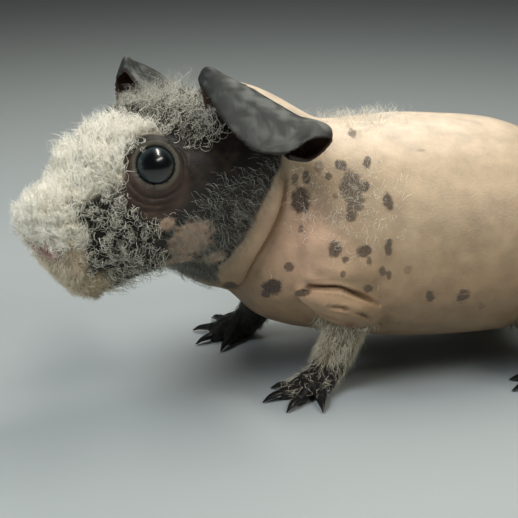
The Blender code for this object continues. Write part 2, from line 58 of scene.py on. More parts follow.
SIDES = {"left": 1.0, "right": -1.0}
UP = np.array([0.0, 0.0, 1.0])
# the way across a limb, tipped a little so that it never lies along one
ASIDE = np.array([0.0, 1.0, 0.05])
# angles from the pole: of the rings in a tube's round ends, and of the first ring of a ball
CAP_ANGLES = np.linspace(0.12, 1.45, 6)
POLE_ANGLE = 0.06
FLESH = ("torso", "neck", "head", "ear_", "foreleg_", "forefoot_", "hindleg_", "hindfoot_")
LOG = logging.getLogger("skinny_pig")
Tree = bpy.types.NodeTree
Socket = bpy.types.NodeSocket


def smooth_keys(keys: np.ndarray, values: np.ndarray, at: np.ndarray) -> np.ndarray:
    """Reads a monotone cubic through values at keys. Slopes are harmonic means of the steps beside them.

    Args:
        keys: rising numbers, one for each row of values.
        values: numbers or arrays, along their first axis.
        at: where to read.

    Returns:
        One row for each number in at.
    """
    keys, values, at = (np.asarray(x, float) for x in (keys, values, at))
    shape = (-1,) + (1,) * (values.ndim - 1)
    step = np.diff(keys).reshape(shape)
    slope = np.diff(values, axis=0) / step
    product = slope[:-1] * slope[1:]
    inner = np.where(product > 0, 2 * product / np.where(product > 0, slope[:-1] + slope[1:], 1.0), 0.0)
    tangent = np.concatenate([slope[:1], inner, slope[-1:]])
    i = np.clip(np.searchsorted(keys, at) - 1, 0, len(keys) - 2)
    t = ((at - keys[i]) / (keys[i + 1] - keys[i])).reshape(shape)
    return (
        values[i] * (1 + 2 * t) * (1 - t) ** 2
        + step[i] * tangent[i] * t * (1 - t) ** 2
        + values[i + 1] * t * t * (3 - 2 * t)
        - step[i] * tangent[i + 1] * t * t * (1 - t)
    )


def through(points: np.ndarray, count: int) -> np.ndarray:
    """count points along the smooth curve through points, with as many in each of its spans."""
    return smooth_keys(np.arange(len(points)), points, np.linspace(0, len(points) - 1, count))


def ease(value: np.ndarray, low: float, high: float) -> np.ndarray:
    """0 below low and 1 above high, by 3t^2 - 2t^3 between them."""
    t = np.clip((np.asarray(value, float) - low) / (high - low), 0.0, 1.0)
    return t * t * (3 - 2 * t)


def wane(value: np.ndarray, low: float, high: float) -> np.ndarray:
    """1 below low and 0 above high."""
    return 1 - ease(value, low, high)


def bell(value: np.ndarray) -> np.ndarray:
    """exp(-value^2): 1 at nought, 0.37 at one and near 0 at two."""
    return np.exp(-(value**2))


def glow(points: np.ndarray, middle: tuple, spread: tuple) -> np.ndarray:
    """A soft ball: exp of minus the sum of squared distances from middle, each over its spread."""
    return np.exp(-((points - middle) ** 2 / spread).sum(1))


def unit(vectors: np.ndarray) -> np.ndarray:
    """The vectors over their own lengths."""
    return vectors / np.maximum(np.linalg.norm(vectors, axis=-1, keepdims=True), 1e-9)


def full_turn(count: int) -> np.ndarray:
    """count even angles round a circle."""
    return np.linspace(0.0, 2 * math.pi, count, endpoint=False)


def spun(first: np.ndarray, second: np.ndarray, angle: np.ndarray | float) -> tuple[np.ndarray, np.ndarray]:
    """Two coordinates turned by an angle, from the first towards the second."""
    cos, sin = np.cos(angle), np.sin(angle)
    return first * cos - second * sin, first * sin + second * cos


@dataclass
class Shell:
    """Triangles in millimetres: points (n, 3) and the three point numbers of each face (m, 3)."""

    points: np.ndarray
    faces: np.ndarray

    def normals(self) -> np.ndarray:
        """Outward unit normal of each point: the sum of the cross products of its faces' edges."""
        a, b, c = (self.points[self.faces[:, k]] for k in range(3))
        cross = np.cross(b - a, c - a)
        count = len(self.points)
        total = [np.bincount(self.faces.ravel(), np.repeat(cross[:, k], 3), count) for k in range(3)]
        return unit(np.stack(total, -1))

    def edges(self) -> np.ndarray:
        """Each edge once, as two point numbers."""
        pairs = np.sort(np.concatenate([self.faces[:, ends] for ends in ([0, 1], [1, 2], [2, 0])]), 1)
        keys = np.unique(pairs[:, 0].astype(np.int64) * len(self.points) + pairs[:, 1])
        return np.stack([keys // len(self.points), keys % len(self.points)], -1)


def averaged(values: np.ndarray, edges: np.ndarray) -> np.ndarray:
    """For each point, the mean of values over the points that an edge joins it to."""
    ends, others = edges.ravel(), edges[:, ::-1].ravel()
    count = len(values)
    flat = values.reshape(count, -1)
    sums = np.stack([np.bincount(ends, flat[others, k], count) for k in range(flat.shape[1])], -1)
    return (sums / np.maximum(np.bincount(ends, minlength=count), 1)[:, None]).reshape(values.shape)


def joined(shells: list[Shell]) -> Shell:
    """One shell that holds all of them, unmerged."""
    starts = np.cumsum([0] + [len(s.points) for s in shells[:-1]])
    faces = [s.faces + start for s, start in zip(shells, starts)]
    return Shell(np.concatenate([s.points for s in shells]), np.concatenate(faces))


def grid_faces(rows: int, sides: int) -> np.ndarray:
    """Two triangles for each cell of a grid of rows by sides, closed round its second way."""
    i, j = np.meshgrid(np.arange(rows - 1), np.arange(sides), indexing="ij")
    a, b = i * sides + j, i * sides + (j + 1) % sides
    c, d = b + sides, a + sides
    return np.concatenate([np.stack([a, b, c], -1), np.stack([a, c, d], -1)]).reshape(-1, 3)


def grid_normals(grid: np.ndarray) -> np.ndarray:
    """Unit normal of a sheet at each point of its grid (rows, lines, 3)."""
    return unit(np.cross(np.gradient(grid, axis=0), np.gradient(grid, axis=1)))


def lofted(rings: np.ndarray) -> Shell:
    """A closed shell through rings of equal count (rows, sides, 3), with a fan to the middle of each end."""
    rows, sides = rings.shape[:2]
    points = np.concatenate([rings.reshape(-1, 3), rings[:1].mean(1), rings[-1:].mean(1)])
    j = np.arange(sides)
    k = (j + 1) % sides
    first = np.stack([np.full(sides, rows * sides), k, j], -1)
    last = np.stack([np.full(sides, rows * sides + 1), (rows - 1) * sides + j, (rows - 1) * sides + k], -1)
    return Shell(points, np.concatenate([grid_faces(rows, sides), first, last]))


def tube(line: np.ndarray, radii: tuple, sides: int, flat: np.ndarray = ASIDE, tip: bool = True) -> Shell:
    """A limb along a smooth curve: at each step an ellipse across the curve, radius times cosine and sine.

    Args:
        line: points that the curve goes through.
        radii: one for each point, a number or (across, the flat way).
        sides: points round the limb.
        flat: the way that the flat side faces.
        tip: whether half a sphere rounds off the last end, as it does the first.

    Returns:
        The closed limb.
    """
    sizes = np.array([(r, r) if np.isscalar(r) else r for r in radii], float)
    fine = 8 * (len(line) - 1) + 1
    line, sizes = through(line, fine), through(sizes, fine)
    share = np.sin(CAP_ANGLES)[:, None]
    rise = np.sqrt(1 - share**2)
    start, end = unit(line[0] - line[1]) * sizes[0].min(), unit(line[-1] - line[-2]) * sizes[-1].min()
    if tip:
        line = np.concatenate([line, line[-1] + end * rise[::-1]])
        sizes = np.concatenate([sizes, sizes[-1] * share[::-1]])
    line = np.concatenate([line[0] + start * rise, line])
    sizes = np.concatenate([sizes[0] * share, sizes])
    tangent = unit(np.gradient(line, axis=0))
    across = unit(np.cross(tangent, flat))
    other = np.cross(tangent, across)
    turn = full_turn(sides)[:, None]
    ring = across[:, None] * np.cos(turn) * sizes[:, None, :1]
    ring = ring + other[:, None] * np.sin(turn) * sizes[:, None, 1:]
    return lofted(line[:, None] + ring)


def ball(centre: np.ndarray, radii: tuple, axes: np.ndarray = np.eye(3), sides: int = 36) -> Shell:
    """An ellipsoid: rings of sin(t) radius at height cos(t), stretched by radii along the rows of axes."""
    t = np.linspace(POLE_ANGLE, math.pi - POLE_ANGLE, sides // 2)[:, None]
    turn = full_turn(sides)
    rings = np.stack(np.broadcast_arrays(np.sin(t) * np.cos(turn), np.sin(t) * np.sin(turn), np.cos(t)), -1)
    return lofted(np.asarray(centre) + (rings * np.broadcast_to(radii, 3)) @ axes)


def axes_along(axis: np.ndarray) -> np.ndarray:
    """Three unit rows, the third along axis and the second as near to up as it allows."""
    axis = unit(np.asarray(axis, float))
    side = unit(np.cross(UP, axis))
    return np.stack([side, np.cross(axis, side), axis])


def torus(centre: np.ndarray, axis: np.ndarray, radius: float, thick: float) -> Shell:
    """A ring round axis, as a circle of radius thick carried round one of radius."""
    rows, sides = 72, 20
    side, up, axis = axes_along(axis)
    turn, swing = full_turn(rows), full_turn(sides)
    out = side * np.cos(turn)[:, None] + up * np.sin(turn)[:, None]
    away, along = (radius + thick * np.cos(swing))[:, None], (thick * np.sin(swing))[:, None]
    rings = centre + out[:, None] * away + axis * along
    return Shell(rings.reshape(-1, 3), grid_faces(rows + 1, sides) % (rows * sides))


@dataclass(frozen=True)
class Body:
    """The body from rump to nose, straight, and the bend at the neck that turns its head."""

    length: float = 168.0
    rump_x: float = 82.0
    rump_cap: float = 34.0
    rump_level: float = 38.0
    nose_cap: float = 6.5
    nose_level: float = 51.0
    # how far the chin lies back from the nose, and the span along the head and the drop that it takes
    chin_recedes: float = 3.2
    chin_span: tuple = (146.0, 166.0)
    chin_drop: float = 14.0
    yaw: float = math.radians(29.0)
    pitch: float = math.radians(13.0)
    lift: float = 12.5
    # where the head turns about, as distance from the rump and height, and the span that bends
    pivot: tuple = (106.0, 55.0)
    bend: tuple = (80.0, 108.0)
    # below these heights the bend lies further forward, by the lag
    throat_level: tuple = (28.0, 50.0)
    throat_lag: float = 16.0
    # distance from the rump, top, bottom, half width, level of the widest point, roundness
    sections: tuple = (
        (0.0, 64.0, 12.5, 28.5, 37.0, 0.92),
        (20.0, 66.5, 11.0, 32.0, 36.0, 0.92),
        (42.0, 69.5, 9.8, 34.0, 36.0, 0.92),
        (60.0, 70.7, 10.2, 33.5, 37.0, 0.92),
        (76.0, 70.0, 12.0, 29.5, 38.0, 0.92),
        (90.0, 71.5, 14.0, 25.5, 42.0, 0.92),
        (100.0, 70.7, 16.5, 23.0, 46.0, 0.92),
        (110.0, 67.6, 16.4, 21.0, 49.0, 0.88),
        (120.0, 67.6, 17.2, 20.5, 51.0, 0.82),
        (126.0, 69.0, 20.2, 20.0, 52.0, 0.78),
        (132.0, 69.7, 28.8, 19.2, 53.0, 0.75),
        (139.0, 70.0, 33.5, 17.3, 54.0, 0.74),
        (147.0, 68.3, 34.5, 14.8, 52.5, 0.77),
        (155.0, 65.5, 34.5, 13.0, 50.0, 0.82),
        (162.0, 62.5, 34.3, 11.6, 48.5, 0.85),
        (168.0, 60.5, 36.6, 10.5, 49.0, 0.88),
    )
    eye_place: tuple = (138.8, 11.8, 63.3)
    eye_looks: tuple = (0.36, 0.85, 0.34)

    def rest_point(self, along: np.ndarray, left: np.ndarray, up: np.ndarray) -> np.ndarray:
        """x, y, z of a point of the straight body."""
        x, y = self.rump_x - np.asarray(along, float), -np.asarray(left)
        return np.stack(np.broadcast_arrays(x, y, up), -1)

    def turned(self, points: np.ndarray, stiff: bool = False) -> np.ndarray:
        """Bends points at the neck: pitch about y, yaw about z and a lift, by a share that is 1 at the head.

        Args:
            points: points of the straight body.
            stiff: whether all of them turn whole, as the head does.

        Returns:
            The same points on the turned body.
        """
        pivot = self.rest_point(self.pivot[0], 0.0, self.pivot[1])
        lag = self.throat_lag * wane(points[..., 2], *self.throat_level)
        share = 1.0 if stiff else ease(self.rump_x - points[..., 0] - lag, *self.bend)
        x, y, z = np.moveaxis(points - pivot, -1, 0)
        x, z = spun(x, z, self.pitch * share)
        x, y = spun(x, y, self.yaw * share)
        return np.stack([x, y, z + self.lift * share], -1) + pivot

    def on_head(self, along: np.ndarray, left: np.ndarray, up: np.ndarray) -> np.ndarray:
        """Turned position of a point of the straight head."""
        return self.turned(self.rest_point(along, left, up), True)

    def head_point(self, forward: np.ndarray, left: np.ndarray, up: np.ndarray) -> np.ndarray:
        """Turned position of a head point given from the neck pivot."""
        along = self.pivot[0] + np.asarray(forward, float)
        return self.on_head(along, left, self.pivot[1] + np.asarray(up, float))

    def to_head(self, points: np.ndarray) -> np.ndarray:
        """Forward, left and up of the neck pivot, for points of the turned body: the head's turn undone."""
        x, y, z = np.moveaxis(points - self.rest_point(self.pivot[0], 0.0, self.pivot[1] + self.lift), -1, 0)
        x, y = spun(x, y, -self.yaw)
        x, z = spun(x, z, -self.pitch)
        return np.stack([-x, -y, z], -1)

    def section(self, along: np.ndarray) -> np.ndarray:
        """Top, bottom, half width, level of the widest point and roundness, a row each."""
        table = np.array(self.sections)
        return smooth_keys(table[:, 0], table[:, 1:], along).T

    def rings(self, along: np.ndarray, turn: np.ndarray) -> np.ndarray:
        """Points of the straight body: superellipses whose sizes follow the sections, closed by two caps.

        Args:
            along: distances from the rump.
            turn: angles up from the left side.

        Returns:
            Points (rows, sides, 3).
        """
        top, bottom, half, wide, roundness = self.section(along)[..., None]
        rump = np.clip((self.rump_cap - along) / self.rump_cap, 0.0, 1.0)
        nose = np.clip((along - self.length + self.nose_cap) / self.nose_cap, 0.0, 1.0)
        cap = np.clip(np.sqrt(1 - rump**2) * (1 - nose**3) ** (1 / 3), 1e-3, 1.0)[:, None]
        level = np.where(along < self.length / 2, self.rump_level, self.nose_level)[:, None]
        side = np.sign(np.cos(turn)) * np.abs(np.cos(turn)) ** roundness
        rise = np.sign(np.sin(turn)) * np.abs(np.sin(turn)) ** roundness
        height = wide + np.where(rise > 0, top - wide, wide - bottom) * rise
        up = level + (height - level) * cap
        back = self.chin_recedes * ease(along, *self.chin_span)[:, None]
        back = back * ease(self.nose_level + 2 - up, 0.0, self.chin_drop)
        return self.rest_point(along[:, None] - back, half * side * cap, up)

    def eye(self, side: str) -> tuple[np.ndarray, np.ndarray]:
        """Centre of an eye, and the unit vector that it looks along."""
        sign = SIDES[side]
        along, left, up = self.eye_place
        forward, aside, rise = self.eye_looks
        start = self.rest_point(along, sign * left, up)
        looks = np.array([-forward, -sign * aside, rise])
        first, second = self.turned(start, True), self.turned(start + looks, True)
        return first, unit(second - first)


BODY = Body()
OFFSET = np.mean(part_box("eye_left"), axis=0) / MM - BODY.eye("left")[0]


def place(points: np.ndarray) -> np.ndarray:
    """Millimetres of the body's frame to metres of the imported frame."""
    return (np.asarray(points, float) + OFFSET) * MM


def unplace(points: np.ndarray) -> np.ndarray:
    """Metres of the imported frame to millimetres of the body's frame."""
    return np.asarray(points) / MM - OFFSET


def add_object(name: str, data: bpy.types.ID) -> bpy.types.Object:
    """A new object of the scene."""
    made = bpy.data.objects.new(name, data)
    bpy.context.scene.collection.objects.link(made)
    return made


def mesh_object(name: str, shell: Shell, smooth: bool = True) -> bpy.types.Object:
    """Puts a shell into a new mesh object of the scene, at the origin."""
    mesh = bpy.data.meshes.new(name)
    mesh.vertices.add(len(shell.points))
    mesh.vertices.foreach_set("co", place(shell.points).astype(np.float32).ravel())
    mesh.loops.add(shell.faces.size)
    mesh.loops.foreach_set("vertex_index", shell.faces.astype(np.int32).ravel())
    mesh.polygons.add(len(shell.faces))
    mesh.polygons.foreach_set("loop_start", np.arange(0, shell.faces.size, 3, dtype=np.int32))
    mesh.polygons.foreach_set("use_smooth", np.full(len(shell.faces), smooth))
    mesh.update(calc_edges=True)
    return add_object(name, mesh)


def read_shell(mesh: bpy.types.Mesh) -> Shell:
    """The triangles of a mesh, back in millimetres."""
    points = np.empty(len(mesh.vertices) * 3, np.float32)
    mesh.vertices.foreach_get("co", points)
    mesh.calc_loop_triangles()
    faces = np.empty(len(mesh.loop_triangles) * 3, np.int32)
    mesh.loop_triangles.foreach_get("vertices", faces)
    return Shell(unplace(points.reshape(-1, 3)), faces.reshape(-1, 3))


def through_modifier(shell: Shell, kind: str, **settings: object) -> Shell:
    """The shell as one modifier leaves it."""
    carrier = mesh_object("carrier", shell)
    modifier = carrier.modifiers.new("step", kind)
    for key, value in settings.items():
        setattr(modifier, key, value)
    solved = carrier.evaluated_get(bpy.context.evaluated_depsgraph_get())
    done = read_shell(bpy.data.meshes.new_from_object(solved))
    bpy.data.objects.remove(carrier)
    return done


def snapped(carrier: bpy.types.Object, points: np.ndarray) -> np.ndarray:
    """The nearest point of an object's surface to each point."""
    return unplace(np.array([carrier.closest_point_on_mesh(Vector(place(point)))[1] for point in points]))


def around_eye(points: np.ndarray, side: str) -> tuple[np.ndarray, np.ndarray, np.ndarray]:
    """How far points lie the way that an eye looks, and off its axis as vectors and as lengths."""
    centre, axis = BODY.eye(side)
    away = points - centre
    forward = away @ axis
    beside = away - forward[:, None] * axis
    return forward, beside, np.linalg.norm(beside, axis=1)


def aimed(at: np.ndarray, back: np.ndarray) -> Matrix:
    """The matrix of a camera or lamp that stands at a point with its back towards a direction."""
    turn = Vector(back).to_track_quat("Z", "Y").to_matrix().to_4x4()
    return Matrix.Translation(place(at)) @ turn


@dataclass(frozen=True)
class View:
    """The photograph's camera: where it looks, from which way and how far, and its focal length in pixels."""

    azimuth: float = math.radians(-12.0)
    elevation: float = math.radians(20.1)
    distance: float = 330.0
    target: tuple = (-16.3, 0.0, 32.3)
    focal_px: float = 1195.0
    frame_px: float = 518.0
    sensor_mm: float = 36.0

    def back(self) -> np.ndarray:
        """Unit vector from the target to the camera."""
        level, rise = math.cos(self.elevation), math.sin(self.elevation)
        return np.array([math.sin(self.azimuth) * level, -math.cos(self.azimuth) * level, rise])

    def centre(self) -> np.ndarray:
        """The camera's own place."""
        return np.array(self.target) + self.back() * self.distance

    def right_and_up(self) -> tuple[np.ndarray, np.ndarray]:
        """Unit vectors along the picture's width and height."""
        right = unit(np.cross(-self.back(), UP))
        return right, np.cross(right, -self.back())

    def ray(self, x: float, y: float) -> np.ndarray:
        """Direction from the camera through a pixel of the photograph."""
        right, up = self.right_and_up()
        half = self.frame_px / 2
        return unit(-self.back() * self.focal_px + right * (x - half) - up * (y - half))

    def hit(self, obj: bpy.types.Object, x: float, y: float) -> np.ndarray:
        """The point of an object that a pixel shows, or else its ray's point at the camera's distance."""
        start, way = place(self.centre()), self.ray(x, y)
        found, point, _, _ = obj.ray_cast(Vector(start), Vector(way))
        return unplace(point if found else start + way * self.distance * MM)

    def build(self) -> None:
        """Makes the camera and gives it to the scene."""
        data = bpy.data.cameras.new("camera")
        data.sensor_width = self.sensor_mm
        data.lens = self.focal_px / self.frame_px * self.sensor_mm
        data.clip_start = 0.01
        camera = add_object("camera", data)
        camera.matrix_world = aimed(self.centre(), self.back())
        bpy.context.scene.camera = camera


VIEW = View()


@dataclass(frozen=True)
class Ear:
    """A folded ear: lines from root through wall and ridge to rim, as forward, left and up of the pivot."""

    side: str
    splay: float
    thick: float = 1.15
    rim_thick: float = 0.6
    lines: tuple = (
        ((13.5, 10.8, 9.5), (14.4, 11.6, 17.5), (15.0, 12.2, 23.6), (15.8, 13.0, 22.4)),
        ((12.5, 11.0, 9.5), (12.4, 12.4, 20.2), (12.8, 13.4, 26.0), (16.2, 15.8, 21.2)),
        ((10.5, 11.5, 9.0), (9.2, 14.0, 18.6), (9.6, 16.8, 22.8), (17.0, 21.0, 16.0)),
        ((7.5, 12.5, 8.0), (4.8, 17.0, 15.0), (5.0, 22.7, 17.3), (15.8, 28.0, 9.2)),
        ((4.5, 13.5, 7.0), (0.5, 21.0, 10.5), (-0.6, 30.3, 10.3), (9.0, 33.4, 6.0)),
        ((3.0, 13.8, 6.2), (-2.3, 22.6, 8.6), (-3.1, 32.0, 9.0), (2.6, 35.2, 7.4)),
        ((1.5, 14.0, 5.5), (-4.5, 24.0, 6.1), (-5.0, 33.5, 6.6), (-2.6, 36.8, 5.3)),
        ((-0.5, 14.5, 4.0), (-2.0, 21.0, 1.6), (-0.4, 28.6, -0.6), (1.6, 32.2, 0.9)),
        ((-1.0, 14.8, 2.5), (0.5, 19.5, 0.4), (2.6, 25.2, 0.4), (4.6, 28.6, 3.0)),
    )

    def sheet(self, lines: int = 110, rows: int = 70) -> np.ndarray:
        """The ear's middle surface: cubics through the lines, then through the points of each line."""
        table = through(np.array(self.lines), lines)
        table = smooth_keys(np.arange(4), table.transpose(1, 0, 2), np.linspace(-0.4, 3.0, rows))
        forward, left, up = np.moveaxis(table, -1, 0)
        splay = self.splay * ease(up, 10.0, 26.0) * ease(forward, 1.0, 11.0)
        return BODY.head_point(forward, SIDES[self.side] * (left + splay), up - 0.3 * splay)

    def build(self) -> Shell:
        """A closed shell: the sheet shifted both ways along its normal, by less at the rim."""
        grid = self.sheet()
        rows, lines = grid.shape[:2]
        normal = grid_normals(grid)
        edge = np.linspace(0.0, 1.0, rows)[:, None, None]
        half = (self.thick + (self.rim_thick - self.thick) * ease(edge, 0.5, 1.0)) / 2
        both = np.concatenate([grid + normal * half, (grid - normal * half)[:, ::-1]], 1)
        sides = 2 * lines
        j = np.arange(lines - 1)
        first = np.stack([j, j + 1, sides - 2 - j, sides - 1 - j], -1)[:, ::-1]
        last = (rows - 1) * sides + first[:, ::-1]
        ends = np.concatenate([first, last])
        ends = np.concatenate([ends[:, [0, 1, 2]], ends[:, [0, 2, 3]]])
        return Shell(both.reshape(-1, 3), np.concatenate([grid_faces(rows, sides), ends]))

    def inside(self, points: np.ndarray) -> tuple[np.ndarray, np.ndarray, np.ndarray]:
        """For points near the ear: their side of it, how near the rim they are, and how far from its sheet.

        Args:
            points: points on the skin.

        Returns:
            1 on the hollow side and 0 on the other, 0 at the root to 1 at the rim, and millimetres.
        """
        grid = self.sheet(61, 36)
        normal = grid_normals(grid).reshape(-1, 3)
        flat = grid.reshape(-1, 3)
        squares = (flat**2).sum(1)
        parts = np.array_split(points, 40)
        nearest = np.concatenate([(squares - 2 * part @ flat.T).argmin(1) for part in parts])
        away = points - flat[nearest]
        offset = -(away * normal[nearest]).sum(1) * SIDES[self.side]
        rim = (nearest // grid.shape[1]) / (len(grid) - 1.0)
        return ease(offset, -0.15, 0.15), rim, np.linalg.norm(away, axis=1)


@dataclass(frozen=True)
class Foreleg:
    """A foreleg: the loose sleeve of skin, the forearm and the four-toed foot."""

    side: str
    sleeve_at: tuple
    forearm_at: tuple
    claw_tips: tuple
    sleeve_levels: tuple = (52.0, 42.0, 35.5, 32.5, 29.2, 26.6, 25.0)
    sleeve_radii: tuple = (
        (8.0, 5.0), (12.0, 8.5), (12.7, 8.4), (11.9, 7.4), (13.2, 8.8), (12.4, 8.2), (10.6, 6.8)
    )
    forearm_levels: tuple = (34.0, 24.0, 14.0, 7.0, 3.2)
    forearm_radii: tuple = (6.5, 5.6, 4.9, 4.6, 4.0)
    palm_radii: tuple = (5.0, 5.2, 3.4)
    toe_height: float = 3.4

    @property
    def name(self) -> str:
        """What its claws are called by."""
        return "fore_" + self.side

    def palm(self) -> tuple:
        """Middle of the palm."""
        return (*self.forearm_at[-1], self.forearm_levels[-1])

    def limb(self) -> Shell:
        """The forearm."""
        line = [(*at, level) for at, level in zip(self.forearm_at, self.forearm_levels)]
        return tube(line, self.forearm_radii, 36)

    def shells(self) -> list[Shell]:
        """The leg's limbs and its palm, unmerged."""
        sleeve = [(*at, level) for at, level in zip(self.sleeve_at, self.sleeve_levels)]
        loose = tube(sleeve, self.sleeve_radii, 64, np.array([0.0, 1.0, 0.0]), False)
        return [loose, self.limb(), ball(self.palm(), self.palm_radii)]


@dataclass(frozen=True)
class Hindleg:
    """A hind leg: thigh, shank and the long three-toed foot."""

    side: str
    thigh: tuple = (63.0, 21.5, 30.5)
    thigh_radii: tuple = (19.0, 12.0, 18.5)
    shank: tuple = (
        (62.0, 23.0, 28.0), (58.0, 26.5, 18.0), (65.0, 27.5, 12.5), (72.5, 27.8, 8.5), (77.0, 27.5, 4.6)
    )
    shank_radii: tuple = (9.5, 8.2, 6.4, 5.0, 3.8)
    sole: tuple = ((79.0, 27.0, 3.4), (70.0, 28.5, 3.6), (62.0, 30.0, 3.5))
    sole_radii: tuple = ((3.4, 4.0), (4.4, 4.2), (5.4, 4.0))
    tips: tuple = ((49.5, 24.5), (47.6, 31.0), (51.5, 36.5))
    toe_height: float = 3.6

    @property
    def name(self) -> str:
        """What its claws are called by."""
        return "hind_" + self.side

    def mirrored(self, points: tuple) -> np.ndarray:
        """Points given for the right side, on this leg's side."""
        return np.array(points) * np.array([1.0, -SIDES[self.side], 1.0])[: len(points[0])]

    @property
    def claw_tips(self) -> np.ndarray:
        """Where the claws end on the floor."""
        return self.mirrored(self.tips)

    def palm(self) -> np.ndarray:
        """Middle of the ball of the foot."""
        return self.mirrored(self.sole)[-1]

    def limb(self) -> Shell:
        """The shank."""
        return tube(self.mirrored(self.shank), self.shank_radii, 36)

    def shells(self) -> list[Shell]:
        """The leg's limbs, unmerged."""
        thigh = ball(self.mirrored((self.thigh,))[0], self.thigh_radii, sides=72)
        return [thigh, self.limb(), tube(self.mirrored(self.sole), self.sole_radii, 36, UP)]


Leg = Foreleg | Hindleg
LEGS = (
    Foreleg(
        "left",
        ((0.0, -17.0), (0.4, -20.0), (2.2, -23.0), (1.8, -23.4), (1.2, -23.3), (0.4, -23.2), (-0.2, -23.0)),
        ((2.0, -21.0), (3.0, -22.0), (1.5, -19.5), (-0.5, -18.0), (-4.0, -19.5)),
        ((-16.3, -15.9), (-20.2, -23.7), (-15.3, -30.6), (-6.1, -32.6)),
    ),
    Foreleg(
        "right",
        ((-6.0, 16.0), (-5.8, 19.0), (-5.2, 21.5), (-5.8, 22.0), (-6.5, 22.0), (-7.4, 22.0), (-8.0, 22.0)),
        ((-8.0, 21.0), (-9.0, 22.5), (-11.5, 22.0), (-13.5, 22.0), (-17.0, 22.3)),
        ((-25.4, 10.8), (-31.7, 17.3), (-30.9, 27.7), (-23.7, 36.0)),
    ),
    Hindleg("left"),
    Hindleg("right"),
)


@dataclass(frozen=True)
class Toes:
    """The toes of one foot and their claws, set out from the palm to the claw tips."""

    leg: Leg
    radii: tuple = (2.6, 2.1, 1.8, 1.6)
    pad_radii: tuple = (1.7, 1.7, 1.2)
    claw_length: float = 6.0
    claw_radii: tuple = (1.15, 1.15, 0.85, 0.2)
    gap: float = 0.3

    def lines(self) -> list[tuple[np.ndarray, np.ndarray]]:
        """For each toe, the points of the toe and the points of its claw."""
        pairs = []
        palm = np.array(self.leg.palm(), float)
        for tip in self.leg.claw_tips:
            way = unit(np.array([*(np.array(tip) - palm[:2]), 0.0]))
            tip = np.array([*tip, 0.5])
            nail = tip - way * self.claw_length + UP * 1.25
            start = np.array([*palm[:2], self.leg.toe_height])
            knuckle = (start + nail) / 2 + UP
            root = nail + way * self.gap + UP * 0.2
            bend = root + way * self.claw_length * 0.55 - UP * 0.35
            toe = np.array([start, knuckle, nail - way * 1.5, nail])
            pairs.append((toe, np.array([root, root + way * 0.6, bend, tip])))
        return pairs

    def shells(self) -> list[Shell]:
        """The fleshy toes, with a pad under the end of each."""
        made = []
        for toe, _ in self.lines():
            made += [tube(toe, self.radii, 20), ball(toe[2] - UP * 0.7, self.pad_radii)]
        return made

    def build_claws(self) -> Shell:
        """The claws: tapered tubes whose section is taller than wide."""
        radii = [(0.85 * r, 1.1 * r) for r in self.claw_radii]
        return joined([tube(claw, radii, 14) for _, claw in self.lines()])


@dataclass
class Crease:
    """A groove along a line on the skin, with a soft lip on each side and a roll of skin on one side."""

    points: np.ndarray
    depth: float
    width: float
    lip: float = 0.0
    roll: float = 0.0
    roll_width: float = 2.2
    # how much shadow is painted into the groove's colour
    shade: float = 0.0

    def steps(self) -> int:
        """How many steps the curve is divided into."""
        return 24 * (len(self.points) - 1)

    def nearest(self, points: np.ndarray, reach: float) -> tuple[np.ndarray, np.ndarray, np.ndarray]:
        """Which points lie within reach of the line, the number of its nearest point, and how far it is."""
        line = through(self.points, self.steps() + 1)
        inside = (points > line.min(0) - reach) & (points < line.max(0) + reach)
        index = np.flatnonzero(np.all(inside, axis=1))
        away = np.linalg.norm(points[index, None] - line[None], axis=2)
        nearest = away.argmin(1)
        return index, nearest, away[np.arange(len(index)), nearest]

    def fade(self, nearest: np.ndarray) -> np.ndarray:
        """1 along the middle of the line, falling to about 0.25 at its ends."""
        return np.sqrt(np.sin(math.pi * np.clip(nearest / self.steps(), 0.02, 0.98)))

    def shadow(self, points: np.ndarray) -> np.ndarray:
        """How much painted shadow darkens each point's colour: its shade times exp(-(d / w)^2)."""
        index, nearest, d = self.nearest(points, 3.0 * self.width)
        made = np.zeros(len(points))
        made[index] = self.shade * bell(d / self.width) * self.fade(nearest)
        return made

    def press(self, shell: Shell, normals: np.ndarray) -> None:
        """Moves points along their normals by lip * exp(-((d - 2w) / w)^2) - depth * exp(-(d / w)^2).

        Args:
            shell: the skin, whose points are moved.
            normals: the skin's normals.
        """
        reach = 3.0 * max(1.5 * self.width, self.roll_width * (self.roll > 0))
        index, nearest, d = self.nearest(shell.points, reach)
        shift = self.lip * bell((d - 2 * self.width) / self.width) - self.depth * bell(d / self.width)
        line = through(self.points, self.steps() + 1)
        along = np.gradient(line, axis=0)[nearest]
        across = ((shell.points[index] - line[nearest]) * unit(np.cross(along, normals[index]))).sum(1)
        beside = (across - self.roll_width) / self.roll_width
        shift = shift + self.roll * bell(beside) * ease(across, 0.0, 0.4 * self.roll_width)
        shell.points[index] += normals[index] * (shift * self.fade(nearest))[:, None]


@dataclass(frozen=True)
class Fold:
    """A fold of loose skin along pixels of the photograph, and the same one on the right side."""

    pixels: tuple
    depth: float
    width: float
    lip: float
    right_shift: float = -9.5
    roll: float = 0.0
    # how much shadow is painted into the fold's colour
    shade: float = 0.0

    def creases(self, carrier: bpy.types.Object) -> list[Crease]:
        """The fold's grooves on the surface of an object, left and right."""
        points = np.array([VIEW.hit(carrier, x, y) for x, y in self.pixels])
        other = snapped(carrier, points * (1.0, -1.0, 1.0) + (self.right_shift, 0.0, 0.0))[::-1]
        sizes = (self.depth, self.width, self.lip, self.roll)
        return [Crease(line, *sizes, shade=self.shade) for line in (points, other)]


